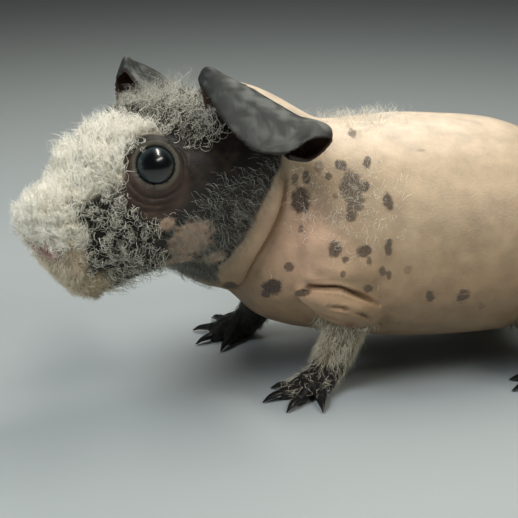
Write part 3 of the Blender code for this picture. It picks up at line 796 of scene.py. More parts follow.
# two folds of the sleeve, the neck's, then faint ones over the sleeve, behind it and behind the neck
FOLDS = (
    Fold(((300, 292), (312, 287), (335, 288), (360, 296), (379, 305)), 2.2, 0.55, 0.2, roll=0.9, shade=1.0),
    Fold(((328, 306), (345, 308), (362, 314), (379, 324)), 1.4, 0.45, 0.3, roll=0.4, shade=0.85),
    Fold(
        ((284, 170), (285, 184), (281, 207), (274, 224), (265, 241), (251, 265), (238, 288)),
        2.4, 0.7, 0.0, 0.0, 1.6, 1.0,
    ),
    Fold(((306, 262), (318, 275), (338, 281), (360, 283)), 0.35, 1.2, 0.2),
    Fold(((393, 205), (399, 235), (396, 262), (386, 290)), 0.5, 2.2, 0.2),
    Fold(((300, 172), (306, 190), (305, 215), (297, 240)), 0.3, 1.6, 0.2, 0.0),
)


def colour(code: str) -> tuple[float, float, float, float]:
    """An sRGB hex value as linear light: c / 12.92 below 0.04045, else ((c + 0.055) / 1.055) ^ 2.4."""
    parts = np.array([int(code[i : i + 2], 16) for i in (0, 2, 4)]) / 255.0
    linear = np.where(parts < 0.04045, parts / 12.92, ((parts + 0.055) / 1.055) ** 2.4)
    return (*linear.tolist(), 1.0)


def set_inputs(tree: Tree, node: bpy.types.Node, inputs: dict) -> None:
    """Gives each socket of a node, by name or number, its value or a link from an output."""
    for key, value in inputs.items():
        if isinstance(value, Socket):
            tree.links.new(value, node.inputs[key])
        else:
            node.inputs[key].default_value = value


def add_node(tree: Tree, kind: str, inputs: dict, **settings: object) -> bpy.types.Node:
    """Adds a node to a tree.

    Args:
        tree: the material's node tree.
        kind: the node's type name, without its ShaderNode.
        inputs: for each socket, by name or number, a value or an output to link from.
        settings: the node's own properties.

    Returns:
        The new node.
    """
    node = tree.nodes.new("ShaderNode" + kind)
    for key, value in settings.items():
        setattr(node, key, value)
    set_inputs(tree, node, inputs)
    return node


def attribute(tree: Tree, name: str) -> bpy.types.Node:
    """A node that reads an attribute of the mesh."""
    return add_node(tree, "Attribute", {}, attribute_name=name)


def object_place(tree: Tree) -> Socket:
    """The place in the object's own metres."""
    return add_node(tree, "TexCoord", {}).outputs["Object"]


def noise(tree: Tree, at: Socket, size: float, detail: float) -> Socket:
    """Fractal noise from 0 to 1 about 0.5, whose largest clouds are size millimetres."""
    sizes = {"Vector": at, "Scale": 1 / (size * MM), "Detail": detail}
    return add_node(tree, "TexNoise", sizes).outputs["Fac"]


def mixed(tree: Tree, share: Socket, first: Socket | tuple, second: Socket | tuple) -> Socket:
    """The first colour, going over to the second by a share."""
    return add_node(tree, "Mix", {0: share, 6: first, 7: second}, data_type="RGBA").outputs[2]


def worked(tree: Tree, operation: str, *values: Socket | float) -> Socket:
    """One sum of numbers or outputs."""
    return add_node(tree, "Math", dict(enumerate(values)), operation=operation).outputs[0]


def mapped(tree: Tree, value: Socket, low: float, high: float, first: float = 0.0, last: float = 1.0,
           kind: str = "LINEAR") -> Socket:
    """A value taken from low and high to first and last, and held at them beyond."""
    ends = {"Value": value, "From Min": low, "From Max": high, "To Min": first, "To Max": last}
    return add_node(tree, "MapRange", ends, interpolation_type=kind).outputs[0]


def bump(tree: Tree, height: Socket, depth: float) -> Socket:
    """A normal tilted by a height, whose 1 stands for a depth in millimetres."""
    sizes = {"Height": height, "Strength": 0.3, "Distance": depth * MM}
    return add_node(tree, "Bump", sizes).outputs[0]


def new_material(name: str) -> tuple[bpy.types.Material, Tree, bpy.types.Node]:
    """A material with its node tree and its Principled shader."""
    material = bpy.data.materials.new(name)
    material.use_nodes = True
    tree = material.node_tree
    return material, tree, tree.nodes["Principled BSDF"]


@dataclass(frozen=True)
class Wool:
    """Fine woolly hair: soft and dull, each hair in the tone that its own attribute gives."""

    name: str = "woolly_hair"
    roughness: float = 0.7
    specular: float = 0.3

    def material(self) -> bpy.types.Material:
        """Reads the attribute tone."""
        material, tree, shader = new_material(self.name)
        tone = attribute(tree, "tone").outputs["Color"]
        looks = {"Base Color": tone, "Roughness": self.roughness, "Specular IOR Level": self.specular}
        set_inputs(tree, shader, looks)
        return material


@dataclass(frozen=True)
class BareSkin:
    """Hairless skin: soft, with fine crossing wrinkles, pale pores, faint mottling and ragged dark spots."""

    name: str = "hairless_skin"
    roughness: float = 0.5
    specular: float = 0.4
    # how far red, green and blue light travels under the skin, as shares of a length, and how much does
    under: tuple = (1.0, 0.42, 0.25)
    under_mm: float = 1.4
    under_share: float = 0.12
    cell_mm: float = 1.1
    mottle_mm: float = 5.0
    ragged_mm: float = 1.5
    grain_mm: float = 0.4
    warp_mm: float = 4.0
    wrinkle_mm: float = 0.12
    raggedness: float = 0.55
    spot_tone: str = "3a322d"
    fleck_tones: tuple = ("7d6250", "dcbca0")

    def ragged(self, tree: Tree, field_of: Socket, edge: Socket, soft: float) -> Socket:
        """1 where a field is over 0.5 and 0 where it is under, with the edge moved about by noise."""
        moved = worked(tree, "MULTIPLY_ADD", edge, self.raggedness, field_of)
        middle = 0.5 + self.raggedness / 2
        return mapped(tree, moved, middle - soft, middle + soft, kind="SMOOTHSTEP")

    def coloured(
        self, tree: Tree, marks: bpy.types.Node, mottle: Socket, edge: Socket, grain: Socket
    ) -> Socket:
        """The tint, mottled and pored, under the flecked pink patches and the dark spots."""
        tint = attribute(tree, "tint").outputs["Color"]
        parts = add_node(tree, "SeparateColor", {"Color": marks.outputs["Color"]}).outputs
        uneven = mapped(tree, mottle, 0.3, 0.7, 0.8, 1.1)
        shaded = add_node(tree, "VectorMath", {0: tint, "Scale": uneven}, operation="SCALE").outputs[0]
        shaded = mixed(tree, mapped(tree, grain, 0.62, 0.72, 0.0, 0.35), shaded, tint)
        flecks = mixed(tree, edge, *(colour(tone) for tone in self.fleck_tones))
        shaded = mixed(tree, self.ragged(tree, parts["Blue"], edge, 0.16), shaded, flecks)
        spot = worked(tree, "MULTIPLY", self.ragged(tree, parts["Red"], edge, 0.13), parts["Green"])
        spot = worked(tree, "MULTIPLY", spot, mapped(tree, grain, 0.38, 0.62, 0.82))
        return mixed(tree, spot, shaded, colour(self.spot_tone))

    def wrinkled(self, tree: Tree, at: Socket, mottle: Socket, grain: Socket) -> Socket:
        """Height of the skin: uneven cells with sunken edges, on grain and on broad swellings."""
        slow = {"Vector": at, "Scale": 1 / (self.warp_mm * MM)}
        drift = add_node(tree, "TexNoise", slow).outputs["Color"]
        warped = add_node(tree, "Mix", {0: 0.002, 4: at, 5: drift}, data_type="VECTOR").outputs[1]
        cells = {"Vector": warped, "Scale": 1 / (self.cell_mm * MM)}
        edges = add_node(tree, "TexVoronoi", cells, feature="DISTANCE_TO_EDGE").outputs["Distance"]
        height = worked(tree, "MULTIPLY_ADD", grain, 0.8, mapped(tree, edges, 0.0, 0.3))
        return worked(tree, "MULTIPLY_ADD", mottle, 3.0, height)

    def material(self) -> bpy.types.Material:
        """Reads the attributes tint, the skin's colour with shade painted into its creases and towards the
        belly, and marks: spots, how dark, pink patches, wrinkles.
        """
        material, tree, shader = new_material(self.name)
        at = object_place(tree)
        marks = attribute(tree, "marks")
        mottle = noise(tree, at, self.mottle_mm, 6.0)
        edge = noise(tree, at, self.ragged_mm, 5.0)
        grain = noise(tree, at, self.grain_mm, 2.0)
        height = worked(tree, "MULTIPLY", self.wrinkled(tree, at, mottle, grain), marks.outputs["Alpha"])
        looks = {
            "Base Color": self.coloured(tree, marks, mottle, edge, grain),
            "Normal": bump(tree, height, self.wrinkle_mm),
            "Roughness": self.roughness,
            "Specular IOR Level": self.specular,
            "Subsurface Weight": self.under_share,
            "Subsurface Radius": self.under,
            "Subsurface Scale": self.under_mm * MM,
        }
        set_inputs(tree, shader, looks)
        return material


@dataclass(frozen=True)
class WetEye:
    """A wet dark eye under clear cornea: black pupil, dark slate iris with faint rays, black rim."""

    name: str = "wet_cornea"
    roughness: float = 0.25
    coat_roughness: float = 0.02
    coat_ior: float = 1.38
    # tones by the angle from the way the eye looks, over the gaze's reach
    stops: tuple = (
        (0.0, "020203"), (0.46, "030405"), (0.53, "12181a"),
        (0.68, "263033"), (0.82, "161c1d"), (0.9, "040404")
    )

    def material(self) -> bpy.types.Material:
        """Reads the attribute gaze: the angle from the way the eye looks, and the place round it."""
        material, tree, shader = new_material(self.name)
        gaze = attribute(tree, "gaze").outputs["Color"]
        parts = add_node(tree, "SeparateColor", {"Color": gaze}).outputs
        round_it = add_node(tree, "CombineXYZ", {"X": parts["Green"], "Y": parts["Blue"]}).outputs[0]
        rays = add_node(tree, "TexNoise", {"Vector": round_it, "Scale": 9.0, "Detail": 3.0}).outputs["Fac"]
        angle = worked(tree, "MULTIPLY_ADD", rays, 0.06, parts["Red"])
        ramp = add_node(tree, "ValToRGB", {"Fac": angle})
        elements = ramp.color_ramp.elements
        while len(elements) < len(self.stops):
            elements.new(0.5)
        for element, (at, code) in zip(elements, self.stops):
            element.position = at
            element.color = colour(code)
        looks = {
            "Base Color": ramp.outputs[0],
            "Roughness": self.roughness,
            "Coat Weight": 1.0,
            "Coat Roughness": self.coat_roughness,
            "Coat IOR": self.coat_ior,
        }
        set_inputs(tree, shader, looks)
        return material


@dataclass(frozen=True)
class Horn:
    """Dark claw horn: smooth, faintly ridged along its length, with a dull shine."""

    name: str = "dark_horn"
    roughness: float = 0.3
    cloud_mm: float = 1.1
    ridge_mm: float = 0.08
    tones: tuple = ("08090a", "23211f")

    def material(self) -> bpy.types.Material:
        """Near black with brown-grey clouds about a millimetre across."""
        material, tree, shader = new_material(self.name)
        clouds = noise(tree, object_place(tree), self.cloud_mm, 3.0)
        tone = mixed(tree, clouds, *(colour(code) for code in self.tones))
        ridges = bump(tree, clouds, self.ridge_mm)
        set_inputs(tree, shader, {"Base Color": tone, "Normal": ridges, "Roughness": self.roughness})
        return material


def store(mesh: bpy.types.Mesh, name: str, values: np.ndarray) -> None:
    """Keeps four numbers a point in the mesh, for a material to read."""
    layer = mesh.color_attributes.new(name=name, type="FLOAT_COLOR", domain="POINT")
    layer.data.foreach_set("color", values.astype(np.float32).ravel())


def streaks(points: np.ndarray, scale: float, seed: int) -> np.ndarray:
    """Smooth unevenness from -1 to 1: the mean of six sines along seeded ways, about scale mm long."""
    chance = np.random.default_rng(seed)
    ways = chance.normal(size=(6, 3))
    lengths = np.linalg.norm(ways, axis=1, keepdims=True)
    ways *= 2 * math.pi / scale * chance.uniform(0.6, 1.6, (6, 1)) / lengths
    return np.sin(points @ ways.T + chance.uniform(0, 2 * math.pi, 6)).mean(1) * 1.6


@dataclass(frozen=True)
class Patch:
    """A round mark on the head: its middle as forward, left and up of the neck pivot, and its radii."""

    middle: tuple
    radii: tuple

    def field(self, head: np.ndarray) -> np.ndarray:
        """1 in the middle, 0.5 at the radii and 0 at twice the radii."""
        return np.clip(1 - np.linalg.norm((head - self.middle) / self.radii, axis=-1) / 2, 0.0, 1.0)


@dataclass(frozen=True)
class Spot:
    """A dark spot of the skin at a pixel of the photograph: its half sizes in pixels, tilt and darkness."""

    x: float
    y: float
    wide: float
    high: float
    tilt: float = 0.0
    dark: float = 1.0

    def distance(self, points: np.ndarray, carrier: bpy.types.Object) -> np.ndarray:
        """How far points are from its middle on an object, over its half sizes."""
        right, up = VIEW.right_and_up()
        middle = VIEW.hit(carrier, self.x, self.y)
        scale = np.linalg.norm(middle - VIEW.centre()) / VIEW.focal_px
        away = points - middle
        cos, sin = math.cos(math.radians(self.tilt)), math.sin(math.radians(self.tilt))
        x, y = away @ (right * cos + up * sin), away @ (up * cos - right * sin)
        reach = 3.0 + max(self.wide, self.high) * scale
        squares = (x / self.wide / scale) ** 2 + (y / self.high / scale) ** 2
        return np.sqrt(squares + (away @ VIEW.back() / reach) ** 2)


SPOTS = tuple(
    Spot(*row)
    for row in (
        (352, 133, 4, 6, 0, 0.7), (319, 167, 5, 6, 0, 0.45), (329, 176, 3.5, 4, 0, 0.8),
        (341, 165, 6, 6, 0, 0.9), (367, 162, 4, 7, 0, 0.9), (351, 186, 11, 15, -12, 0.75),
        (355, 201, 9, 12, -10, 0.75), (366, 186, 4, 5, 0, 0.9), (388, 202, 5, 10, 15, 0.85),
        (350, 217, 5, 5, 0, 0.8), (335, 196, 3, 3, 0, 0.5), (295, 180, 4, 6, 0, 0.7),
        (306, 177, 4, 6, 0, 0.8), (300, 200, 10, 13, 0, 0.95), (301, 229, 3, 4, 0, 0.6),
        (335, 249, 6.5, 9, 0, 0.85), (345, 260, 4, 4, 0, 0.8), (343, 274, 3, 4, 0, 0.7),
        (364, 251, 7, 6, 0, 0.85), (369, 261, 3, 5, 0, 0.7), (389, 247, 4, 9, 0, 0.8),
        (382, 271, 3, 5, 0, 0.7), (389, 275, 2.5, 5, 0, 0.7), (368, 289, 5, 4, 0, 0.7),
        (289, 267, 5, 5, 0, 0.8), (272, 287, 11, 8, 20, 1.0), (266, 294, 5, 4, 0, 0.9),
        (302, 293, 10, 3.5, 10, 0.9), (408, 270, 4, 4, 0, 0.35), (430, 296, 4, 6, 15, 0.75),
        (464, 296, 6, 9, -20, 0.8), (482, 306, 4, 4, 0, 0.3), (230, 286, 8, 5, 0, 0.9),
        (421, 150, 4, 2, 0, 0.3),
    )
)


@dataclass(frozen=True)
class Markings:
    """Where skin and coat change, worked out for any point from its place on the animal."""

    # the dark of the head ends this far forward of a leaning plane, by height
    dark_edge: tuple = (
        (-42.0, -2.0), (-36.0, 4.0), (-30.0, 11.0), (-24.0, 14.5), (-20.0, 12.5), (-14.0, 7.4), (-9.0, 5.0),
        (-5.0, 3.0), (-2.0, 0.4), (8.0, -1.0)
    )
    # the white of the bridge of the nose lies above this level, by distance forward of the neck pivot
    bridge_floor: tuple = ((22.0, 17.5), (27.0, 14.0), (36.0, 12.0), (43.0, 7.4), (50.0, 6.4), (57.0, 7.0))
    bare: Patch = Patch((35.0, 13.0, 4.6), (8.3, 9.0, 8.8))
    eye: Patch = Patch((32.8, 11.8, 8.3), (9.0, 9.0, 9.0))
    pad: Patch = Patch((61.5, 3.2, -4.4), (3.0, 3.6, 2.6))
    cheek_patches: tuple = (
        Patch((30.3, 16.9, -12.0), (5.6, 6.0, 5.2)),
        Patch((33.1, 12.5, -18.0), (4.4, 4.0, 2.6)),
        Patch((35.8, 16.4, -5.2), (2.0, 3.0, 1.7)),
        Patch((24.0, 14.7, -20.0), (3.2, 4.0, 2.2)),
    )
    # where each soft edge starts and ends: forward of the neck pivot
    ear_front: tuple = (19.0, 22.0)
    nose_back: tuple = (54.6, 56.4)
    bridge_back: tuple = (24.0, 29.0)
    chin_back: tuple = (49.0, 53.0)
    cheek_back: tuple = (32.0, 38.0)
    cheek_full: tuple = (38.0, 48.0)
    lip_back: tuple = (55.5, 58.0)
    crown_back: tuple = (7.0, 10.0)
    crown_front: tuple = (27.0, 31.0)
    jowl_front: tuple = (36.0, 40.0)
    # up from the neck pivot, or down from it for chin and jowl
    ear_base: tuple = (-7.0, -4.0)
    nose_floor: tuple = (-3.4, -0.8)
    cheek_floor: tuple = (-20.0, -17.0)
    crown_floor: tuple = (8.5, 11.0)
    chin_top: tuple = (9.5, 12.5)
    jowl_top: tuple = (-6.0, 13.0)
    # up from the floor
    foot_top: tuple = (7.5, 10.5)
    leg_top: tuple = (23.0, 26.0)
    sole_top: tuple = (1.0, 4.0)
    head_floor: tuple = (30.0, 35.0)
    # out of the bare body, away from the ear's sheet, the legs' limbs and the nostrils' lines
    ear_out: tuple = (0.5, 1.2)
    ear_away: tuple = (1.1, 1.9)
    leg_away: tuple = (1.2, 3.0)
    slit_away: tuple = (0.5, 1.1)
    # where forelegs and hind legs part, and how high the feet are all leg skin
    middle_x: float = 30.0
    all_leg: float = 9.3

    def excess(self, head: np.ndarray) -> np.ndarray:
        """How far head points stand out of the bare body, in mm: (|x|^p + |z|^p)^(1/p) - 1 of its ellipse."""
        along = np.clip(BODY.pivot[0] + head[:, 0], 60.0, BODY.length)
        top, bottom, half, wide, roundness = BODY.section(along)
        up = head[:, 2] + BODY.pivot[1] - wide
        power = 2 / roundness
        side, rise = np.abs(head[:, 1]) / half, np.abs(up) / np.where(up > 0, top - wide, wide - bottom)
        return ((side**power + rise**power) ** (1 / power) - 1) * half

    def leg_share(self, points: np.ndarray, legs: tuple) -> np.ndarray:
        """1 on the feet and on the legs up to the body, and 0 elsewhere."""
        level = points[:, 2]
        away = np.full(len(points), FAR)
        for leg in legs:
            line = leg.limb().points[::2]
            near = np.flatnonzero((level < 30) & (np.abs(points[:, :2] - line.mean(0)[:2]) < 20).all(1))
            limb_away = np.linalg.norm(points[near, None] - line[None], axis=2).min(1)
            away[near] = np.minimum(away[near], limb_away)
        share = wane(away, *self.leg_away) * wane(level, *self.leg_top) * (level < self.leg_top[1])
        return np.maximum(share, level < self.all_leg)

    def slit_distance(self, points: np.ndarray) -> np.ndarray:
        """How far each point is from the line of a nostril."""
        away = np.full(len(points), FAR)
        line = through(Skin.nostril + np.array(Skin.slit), 12)
        for sign in SIDES.values():
            for point in BODY.on_head(line[:, 0], sign * line[:, 1], line[:, 2]):
                away = np.minimum(away, np.linalg.norm(points - point, axis=1))
        return away

    def ear_fields(
        self, points: np.ndarray, ears: tuple, ear: np.ndarray, on_left: np.ndarray
    ) -> tuple[np.ndarray, np.ndarray]:
        """Cuts the ears' share down to what lies by their sheets, and reads their hollows and rims.

        Args:
            points: points on the skin.
            ears: both ears.
            ear: the ears' share at each point, which is changed.
            on_left: which points lie on the left of the head.

        Returns:
            The share of the hollow and of the rim at each point.
        """
        hollow, rim = np.zeros((2, len(points)))
        for one in ears:
            near = np.flatnonzero((ear > 0.02) & (on_left == (one.side == "left")))
            hollow[near], share, away = one.inside(points[near])
            rim[near] = ease(share, 0.86, 0.98)
            ear[near] *= wane(away, *self.ear_away)
        return hollow, rim

    def read(self, points: np.ndarray, legs: tuple, ears: tuple) -> dict[str, np.ndarray]:
        """The share, from 0 to 1, that each kind of skin or coat has at each point.

        Args:
            points: points on the skin, in millimetres.
            legs: the four legs.
            ears: both ears.

        Returns:
            Arrays by name.
        """
        head = BODY.to_head(points)
        excess = self.excess(head)
        on_left = head[:, 1] > 0
        head[:, 1] = np.abs(head[:, 1])
        u, v, w = head.T
        level = points[:, 2]
        rough, fine = streaks(points, 9.0, 1), streaks(points, 4.0, 2)
        foot = wane(level + 1.5 * rough, *self.foot_top)
        leg = self.leg_share(points, legs)
        floor = np.interp(u, *np.transpose(self.bridge_floor))
        edge = np.interp(w, *np.transpose(self.dark_edge))
        on_head = ease(u + 0.35 * w - edge + 0.9 * fine, -0.8, 0.8) * (1 - leg)
        on_head = on_head * ease(level, *self.head_floor)
        ear = ease(excess, *self.ear_out) * wane(u, *self.ear_front) * ease(w, *self.ear_base)
        ear = ear * (v > 9) * (u > -9)
        foreleg = leg * (points[:, 0] < self.middle_x) * ease(level, *self.sole_top)
        front = ease(u, *self.nose_back)
        hollow, rim = self.ear_fields(points, ears, ear, on_left)
        bare = wane(1 - self.bare.field(head), 0.44, 0.56)
        nose = front * ease(w + 0.8 * rough, *self.nose_floor) * wane(self.pad.field(head), 0.42, 0.6)
        eye = self.eye.field(head)
        bridge = ease(w - floor + 0.9 * fine, -1.0, 1.0) * ease(u + 1.5 * rough, *self.bridge_back)
        bridge = bridge * (1 - front) * wane(eye, 0.52, 0.6)
        chin = ease(-w + rough, *self.chin_top) * ease(u + rough, *self.chin_back)
        pad = ease(self.pad.field(head), 0.35, 0.6)
        pink = np.max([patch.field(head) for patch in self.cheek_patches], axis=0)
        lip = ease(u, *self.lip_back) * (1 - nose) * (1 - pad)
        cheek = ease(u + 2 * rough, *self.cheek_back) * ease(w, *self.cheek_floor)
        cheek = cheek * (1 - bridge) * (1 - nose) * (1 - bare)
        cheek = cheek * (1 - lip) * (0.45 + 0.55 * ease(u, *self.cheek_full))
        crown = wane(eye, 0.45, 0.6) * ease(w, *self.crown_floor) * ease(u, *self.crown_back)
        crown = crown * wane(u, *self.crown_front) * (1 - ear) * (1 - bare)
        jowl = on_head * wane(u, *self.jowl_front) * (1 - bare) * (1 - crown) * (1 - ear)
        return {
            "head": on_head * (1 - ear),
            "ear": ear,
            "inner_ear": hollow * ear,
            "ear_rim": rim * ear,
            "bare": bare * on_head,
            "bridge": bridge * on_head * (1 - bare),
            "nose": nose * on_head,
            "chin": chin * on_head,
            "pad": pad * on_head,
            "pink": pink * on_head,
            "cheek": cheek * on_head * (1 - pad) * (1 - chin) * wane(pink, 0.4, 0.6),
            "crown": crown * on_head,
            "lip": lip * on_head,
            "slit": wane(self.slit_distance(points), *self.slit_away),
            "jowl": jowl * ease(-w, *self.jowl_top),
            "leg": leg,
            "forearm": foreleg * (1 - 0.8 * foot) * on_left,
            "far_forearm": foreleg * ~on_left,
            "hind_leg": leg * (points[:, 0] > self.middle_x) * ease(level, *self.sole_top),
            "shoulder": glow(np.abs(points), (2.0, 23.0, 56.0), (80.0, 90.0, 90.0)) * (1 - on_head),
            "withers": glow(points, (12.0, 2.0, 70.0), (60.0, 60.0, 20.0)),
            "foot": foot,
            "left": (points[:, 1] < 0) * 1.0,
        }

    def tint(self, points: np.ndarray, fields: dict[str, np.ndarray]) -> np.ndarray:
        """Bare skin colour at each point, in linear light, darker down the flanks partly as painted shade:
        each zone's colour laid over those before it.
        """
        # pale on the back and darker down to the belly: partly the skin's own tone, partly painted shade from
        # the light above
        height = np.clip((points[:, 2] - 12.0) / 58.0, 0.0, 1.0)
        tones = np.array([colour(code) for code in ("7f6850", "9f8567", "b6a083", "c1ac8f", "e2d0b8")])
        made = smooth_keys(np.array([0.0, 0.33, 0.65, 0.88, 1.0]), tones, height)
        lids, rim, socket = np.zeros((3, len(points)))
        for side in SIDES:
            forward, _, radial = around_eye(points, side)
            near = (forward > 0.0) & (forward < 7.0)
            lids = np.maximum(lids, near * wane(radial, 5.5, 6.2) * ease(radial, 4.6, 4.9))
            rim = np.maximum(rim, near * wane(radial, 4.55, 4.95))
            socket = np.maximum(socket, near * wane(radial, 7.5, 10.5))
        warm = ease(streaks(points, 5.0, 5) + streaks(points, 2.3, 6), -0.5, 1.1)
        blotched = ease(streaks(points, 7.0, 8) + 0.7 * streaks(points, 2.2, 9), -0.5, 1.0)
        head, bare, ear, leg = (fields[name] for name in ("head", "bare", "ear", "leg"))
        layers = (
            (glow(points, (-10.0, -22.0, 46.0), (130.0, 160.0, 170.0)) * 0.45, "c79c86"),
            (head, "1f1d1a"),
            (head * warm * 0.5, "46392f"),
            (fields["crown"], "211f1c"),
            (fields["cheek"], "1d1c16"),
            (bare, "58443a"),
            (bare * (1 - warm) * 0.6, "372c26"),
            (bare * socket * 0.5, "352b25"),
            (fields["bridge"], "f2e8cf"),
            (fields["nose"], "efe2c6"),
            (fields["lip"], "b5a085"),
            (fields["chin"], "a08c68"),
            (fields["pad"], "b08a7c"),
            (fields["slit"], "2c100e"),
            (ear, "2f3230"),
            (ear * blotched * 0.9, "6a6d67"),
            (fields["inner_ear"], "4d362b"),
            (fields["ear_rim"] * (1 - fields["inner_ear"]) * 0.6, "262725"),
            (leg, "75664f"),
            (0.8 * glow(points, (1.4, -29.5, 24.0), (2.5, 6.0, 3.5)), "6a2f25"),
            (fields["far_forearm"], "26221f"),
            (leg * fields["foot"], "1b1a19"),
            (lids, "5e594e"),
            (rim, "0b0909"),
        )
        for share, code in layers:
            made = made + (np.array(colour(code)) - made) * np.clip(share, 0, 1)[:, None]
        return made

    def spots(self, points: np.ndarray, carrier: bpy.types.Object) -> tuple[np.ndarray, np.ndarray]:
        """The field of the spots, 1 in a middle and 0.5 at an edge, and how dark the nearest one is.

        The left side's spots are the photograph's. The right side's are 26 seeded ones, most of them near
        the shoulder.
        """
        found = [(spot.distance(points, carrier), spot.dark) for spot in SPOTS]
        chance = np.random.default_rng(11)
        x, y, z = points.T
        on_side = np.flatnonzero((y > 4) & (z > 24) & (x < 60) & (x > -22))
        likely = bell((x[on_side] + 5) / 24)
        for middle in points[chance.choice(on_side, 26, replace=False, p=likely / likely.sum())]:
            radii = chance.uniform(0.8, 3.2) * chance.uniform(0.7, 1.3, 3)
            found.append((np.linalg.norm((points - middle) / radii, axis=1), chance.uniform(0.6, 1.0)))
        best, dark = np.zeros(len(points)), np.ones(len(points))
        for distance, darkness in found:
            value = np.clip(1 - distance / 2, 0.0, 1.0)
            dark = np.where(value > best, darkness, dark)
            best = np.maximum(best, value)
        return best, dark


@dataclass
class Skin:
    """One skin over all the flesh: lofts and tubes merged on a fine grid, softened, creased and coloured."""

    legs: tuple
    ears: tuple
    name: str = "skin"
    voxel: float = 0.45
    quick_voxel: float = 0.8
    most_triangles: int = 190000
    soften: int = 3
    fill: int = 14
    lid_radius: float = 5.3
    lid_thick: float = 0.95
    lid_forward: float = 2.3
    eye_radius: float = 5.4
    mound_radii: tuple = (9.0, 8.2, 4.6)
    mound_back: float = 2.6
    # wrinkles round the eye: radius, first and last angle up from its side, depth
    lid_folds: tuple = (
        (7.3, -25.0, 195.0, 0.5),
        (8.9, 20.0, 150.0, 0.35),
        (7.6, 205.0, 330.0, 0.35),
        (9.2, 215.0, 300.0, 0.3),
        (10.8, 225.0, 290.0, 0.3),
    )
    nostril: tuple = (167.2, 3.3, 51.0)
    nose_wing: tuple = (3.1, 3.1, 2.9)
    slit: tuple = ((1.0, -1.6, -1.1), (0.4, -0.2, -0.5), (-0.8, 1.6, 0.6))
    # lines on the head as distance from the rump and degrees up from the side
    mouth: tuple = (
        (167.4, -90.0), (167.2, -76.0), (166.2, -62.0), (163.5, -50.0), (159.5, -42.0), (155.0, -36.0)
    )
    lip_cleft: tuple = ((167.99, -90.0), (167.95, -90.0), (167.4, -90.0))
    # the colour of the shadow painted into a groove, as shares of the skin's
    groove: tuple = (0.28, 0.17, 0.13, 1.0)
    shell: Shell | None = None
    normals: np.ndarray | None = None
    fields: dict = field(default_factory=dict)

    def body_shell(self) -> Shell:
        """The whole turned body, with its rings closest together at the head."""
        rump = BODY.rump_cap * (1 - np.cos(np.linspace(0.03, 1.35, 26)))
        trunk = np.linspace(rump[-1] + 1.2, 104.0, 66)
        head = np.linspace(104.8, BODY.length - BODY.nose_cap, 80)
        nose = BODY.length - BODY.nose_cap * (1 - np.sin(np.linspace(0.12, 1.55, 22)))
        rings = BODY.rings(np.concatenate([rump, trunk, head, nose]), full_turn(260)[None, :])
        return lofted(BODY.turned(rings))

    def face_shells(self) -> list[Shell]:
        """Lids, the swelling round each eye, and the wings of the nose."""
        made = []
        along, left, up = self.nostril
        for side, sign in SIDES.items():
            centre, axis = BODY.eye(side)
            made.append(torus(centre + axis * self.lid_forward, axis, self.lid_radius, self.lid_thick))
            made.append(ball(centre - axis * self.mound_back, self.mound_radii, axes_along(axis), 60))
            made.append(ball(BODY.on_head(along - 2.4, sign * left, up + 0.4), self.nose_wing, sides=40))
        return made

    def merged(self) -> Shell:
        """Every part in one watertight shell on the voxel grid."""
        parts = [self.body_shell(), *self.face_shells(), *(ear.build() for ear in self.ears)]
        for leg in self.legs:
            parts += [*leg.shells(), *Toes(leg).shells()]
        voxel = self.voxel
        return through_modifier(joined(parts), "REMESH", mode="VOXEL", voxel_size=voxel * MM)

    def softened(self, shell: Shell) -> Shell:
        """Smooths the grid's steps without shrinking, then fills the sharp valleys where parts meet.

        The steps go by moving each point half way to the mean of its neighbours and 0.53 of that back out. A
        valley is where that mean lies outside the surface, and only such points move, so that they fill it.
        """
        edges = shell.edges()
        for _ in range(self.soften):
            shell.points = shell.points + 0.5 * (averaged(shell.points, edges) - shell.points)
            shell.points = shell.points - 0.53 * (averaged(shell.points, edges) - shell.points)
        for _ in range(self.fill):
            pull = averaged(shell.points, edges) - shell.points
            hollow = averaged((pull * shell.normals()).sum(1), edges)
            shell.points = shell.points + 0.6 * pull * ease(hollow, 0.004, 0.03)[:, None]
        return shell

    def on_body(self, keys: tuple, sign: float) -> np.ndarray:
        """Points on the head's surface from (distance from the rump, degrees up from the side)."""
        table = np.array(keys)
        angle = np.radians(table[:, 1] if sign > 0 else 180.0 - table[:, 1])
        return BODY.turned(BODY.rings(table[:, 0], angle[:, None])[:, 0], True)

    def creases(self, carrier: bpy.types.Object) -> list[Crease]:
        """Grooves of nose, mouth and lids by measure, and the folds by the photograph's lines."""
        made = []
        along, left, up = np.transpose(np.add(self.nostril, self.slit))
        for sign in SIDES.values():
            made.append(Crease(BODY.on_head(along, sign * left, up), 1.7, 0.55, 0.12))
            made.append(Crease(self.on_body(self.mouth, sign), 0.9, 0.5, 0.12))
        made.append(Crease(self.on_body(self.lip_cleft, 1.0), 0.8, 0.5, 0.1))
        for side, sign in SIDES.items():
            centre, axis = BODY.eye(side)
            across, upward, _ = axes_along(axis)
            for radius, start, end, depth in self.lid_folds:
                turn = np.radians(np.linspace(start, end, 9))[:, None]
                ring = centre + 2.0 * axis + radius * (across * np.cos(turn) * sign + upward * np.sin(turn))
                # painted shadow darkens the colour along each wrinkle round the eye
                made.append(Crease(snapped(carrier, ring), depth, 0.42, 0.15, shade=0.7))
        for fold in FOLDS:
            made += fold.creases(carrier)
        return made

    def open_sockets(self, shell: Shell) -> None:
        """Sinks what lies in front of or over an eye to just behind the eye's own surface."""
        for side in SIDES:
            centre, axis = BODY.eye(side)
            forward, beside, radial = around_eye(shell.points, side)
            depth = np.sqrt(np.maximum((self.eye_radius - 0.5) ** 2 - radial**2, 0.0))
            sunk = centre + axis * depth[:, None] + beside
            hole = radial < self.lid_radius - self.lid_thick + 0.12
            inside = hole & (forward > 0.5) & (forward < 9.0) & (forward > depth)
            shell.points[inside] = sunk[inside]

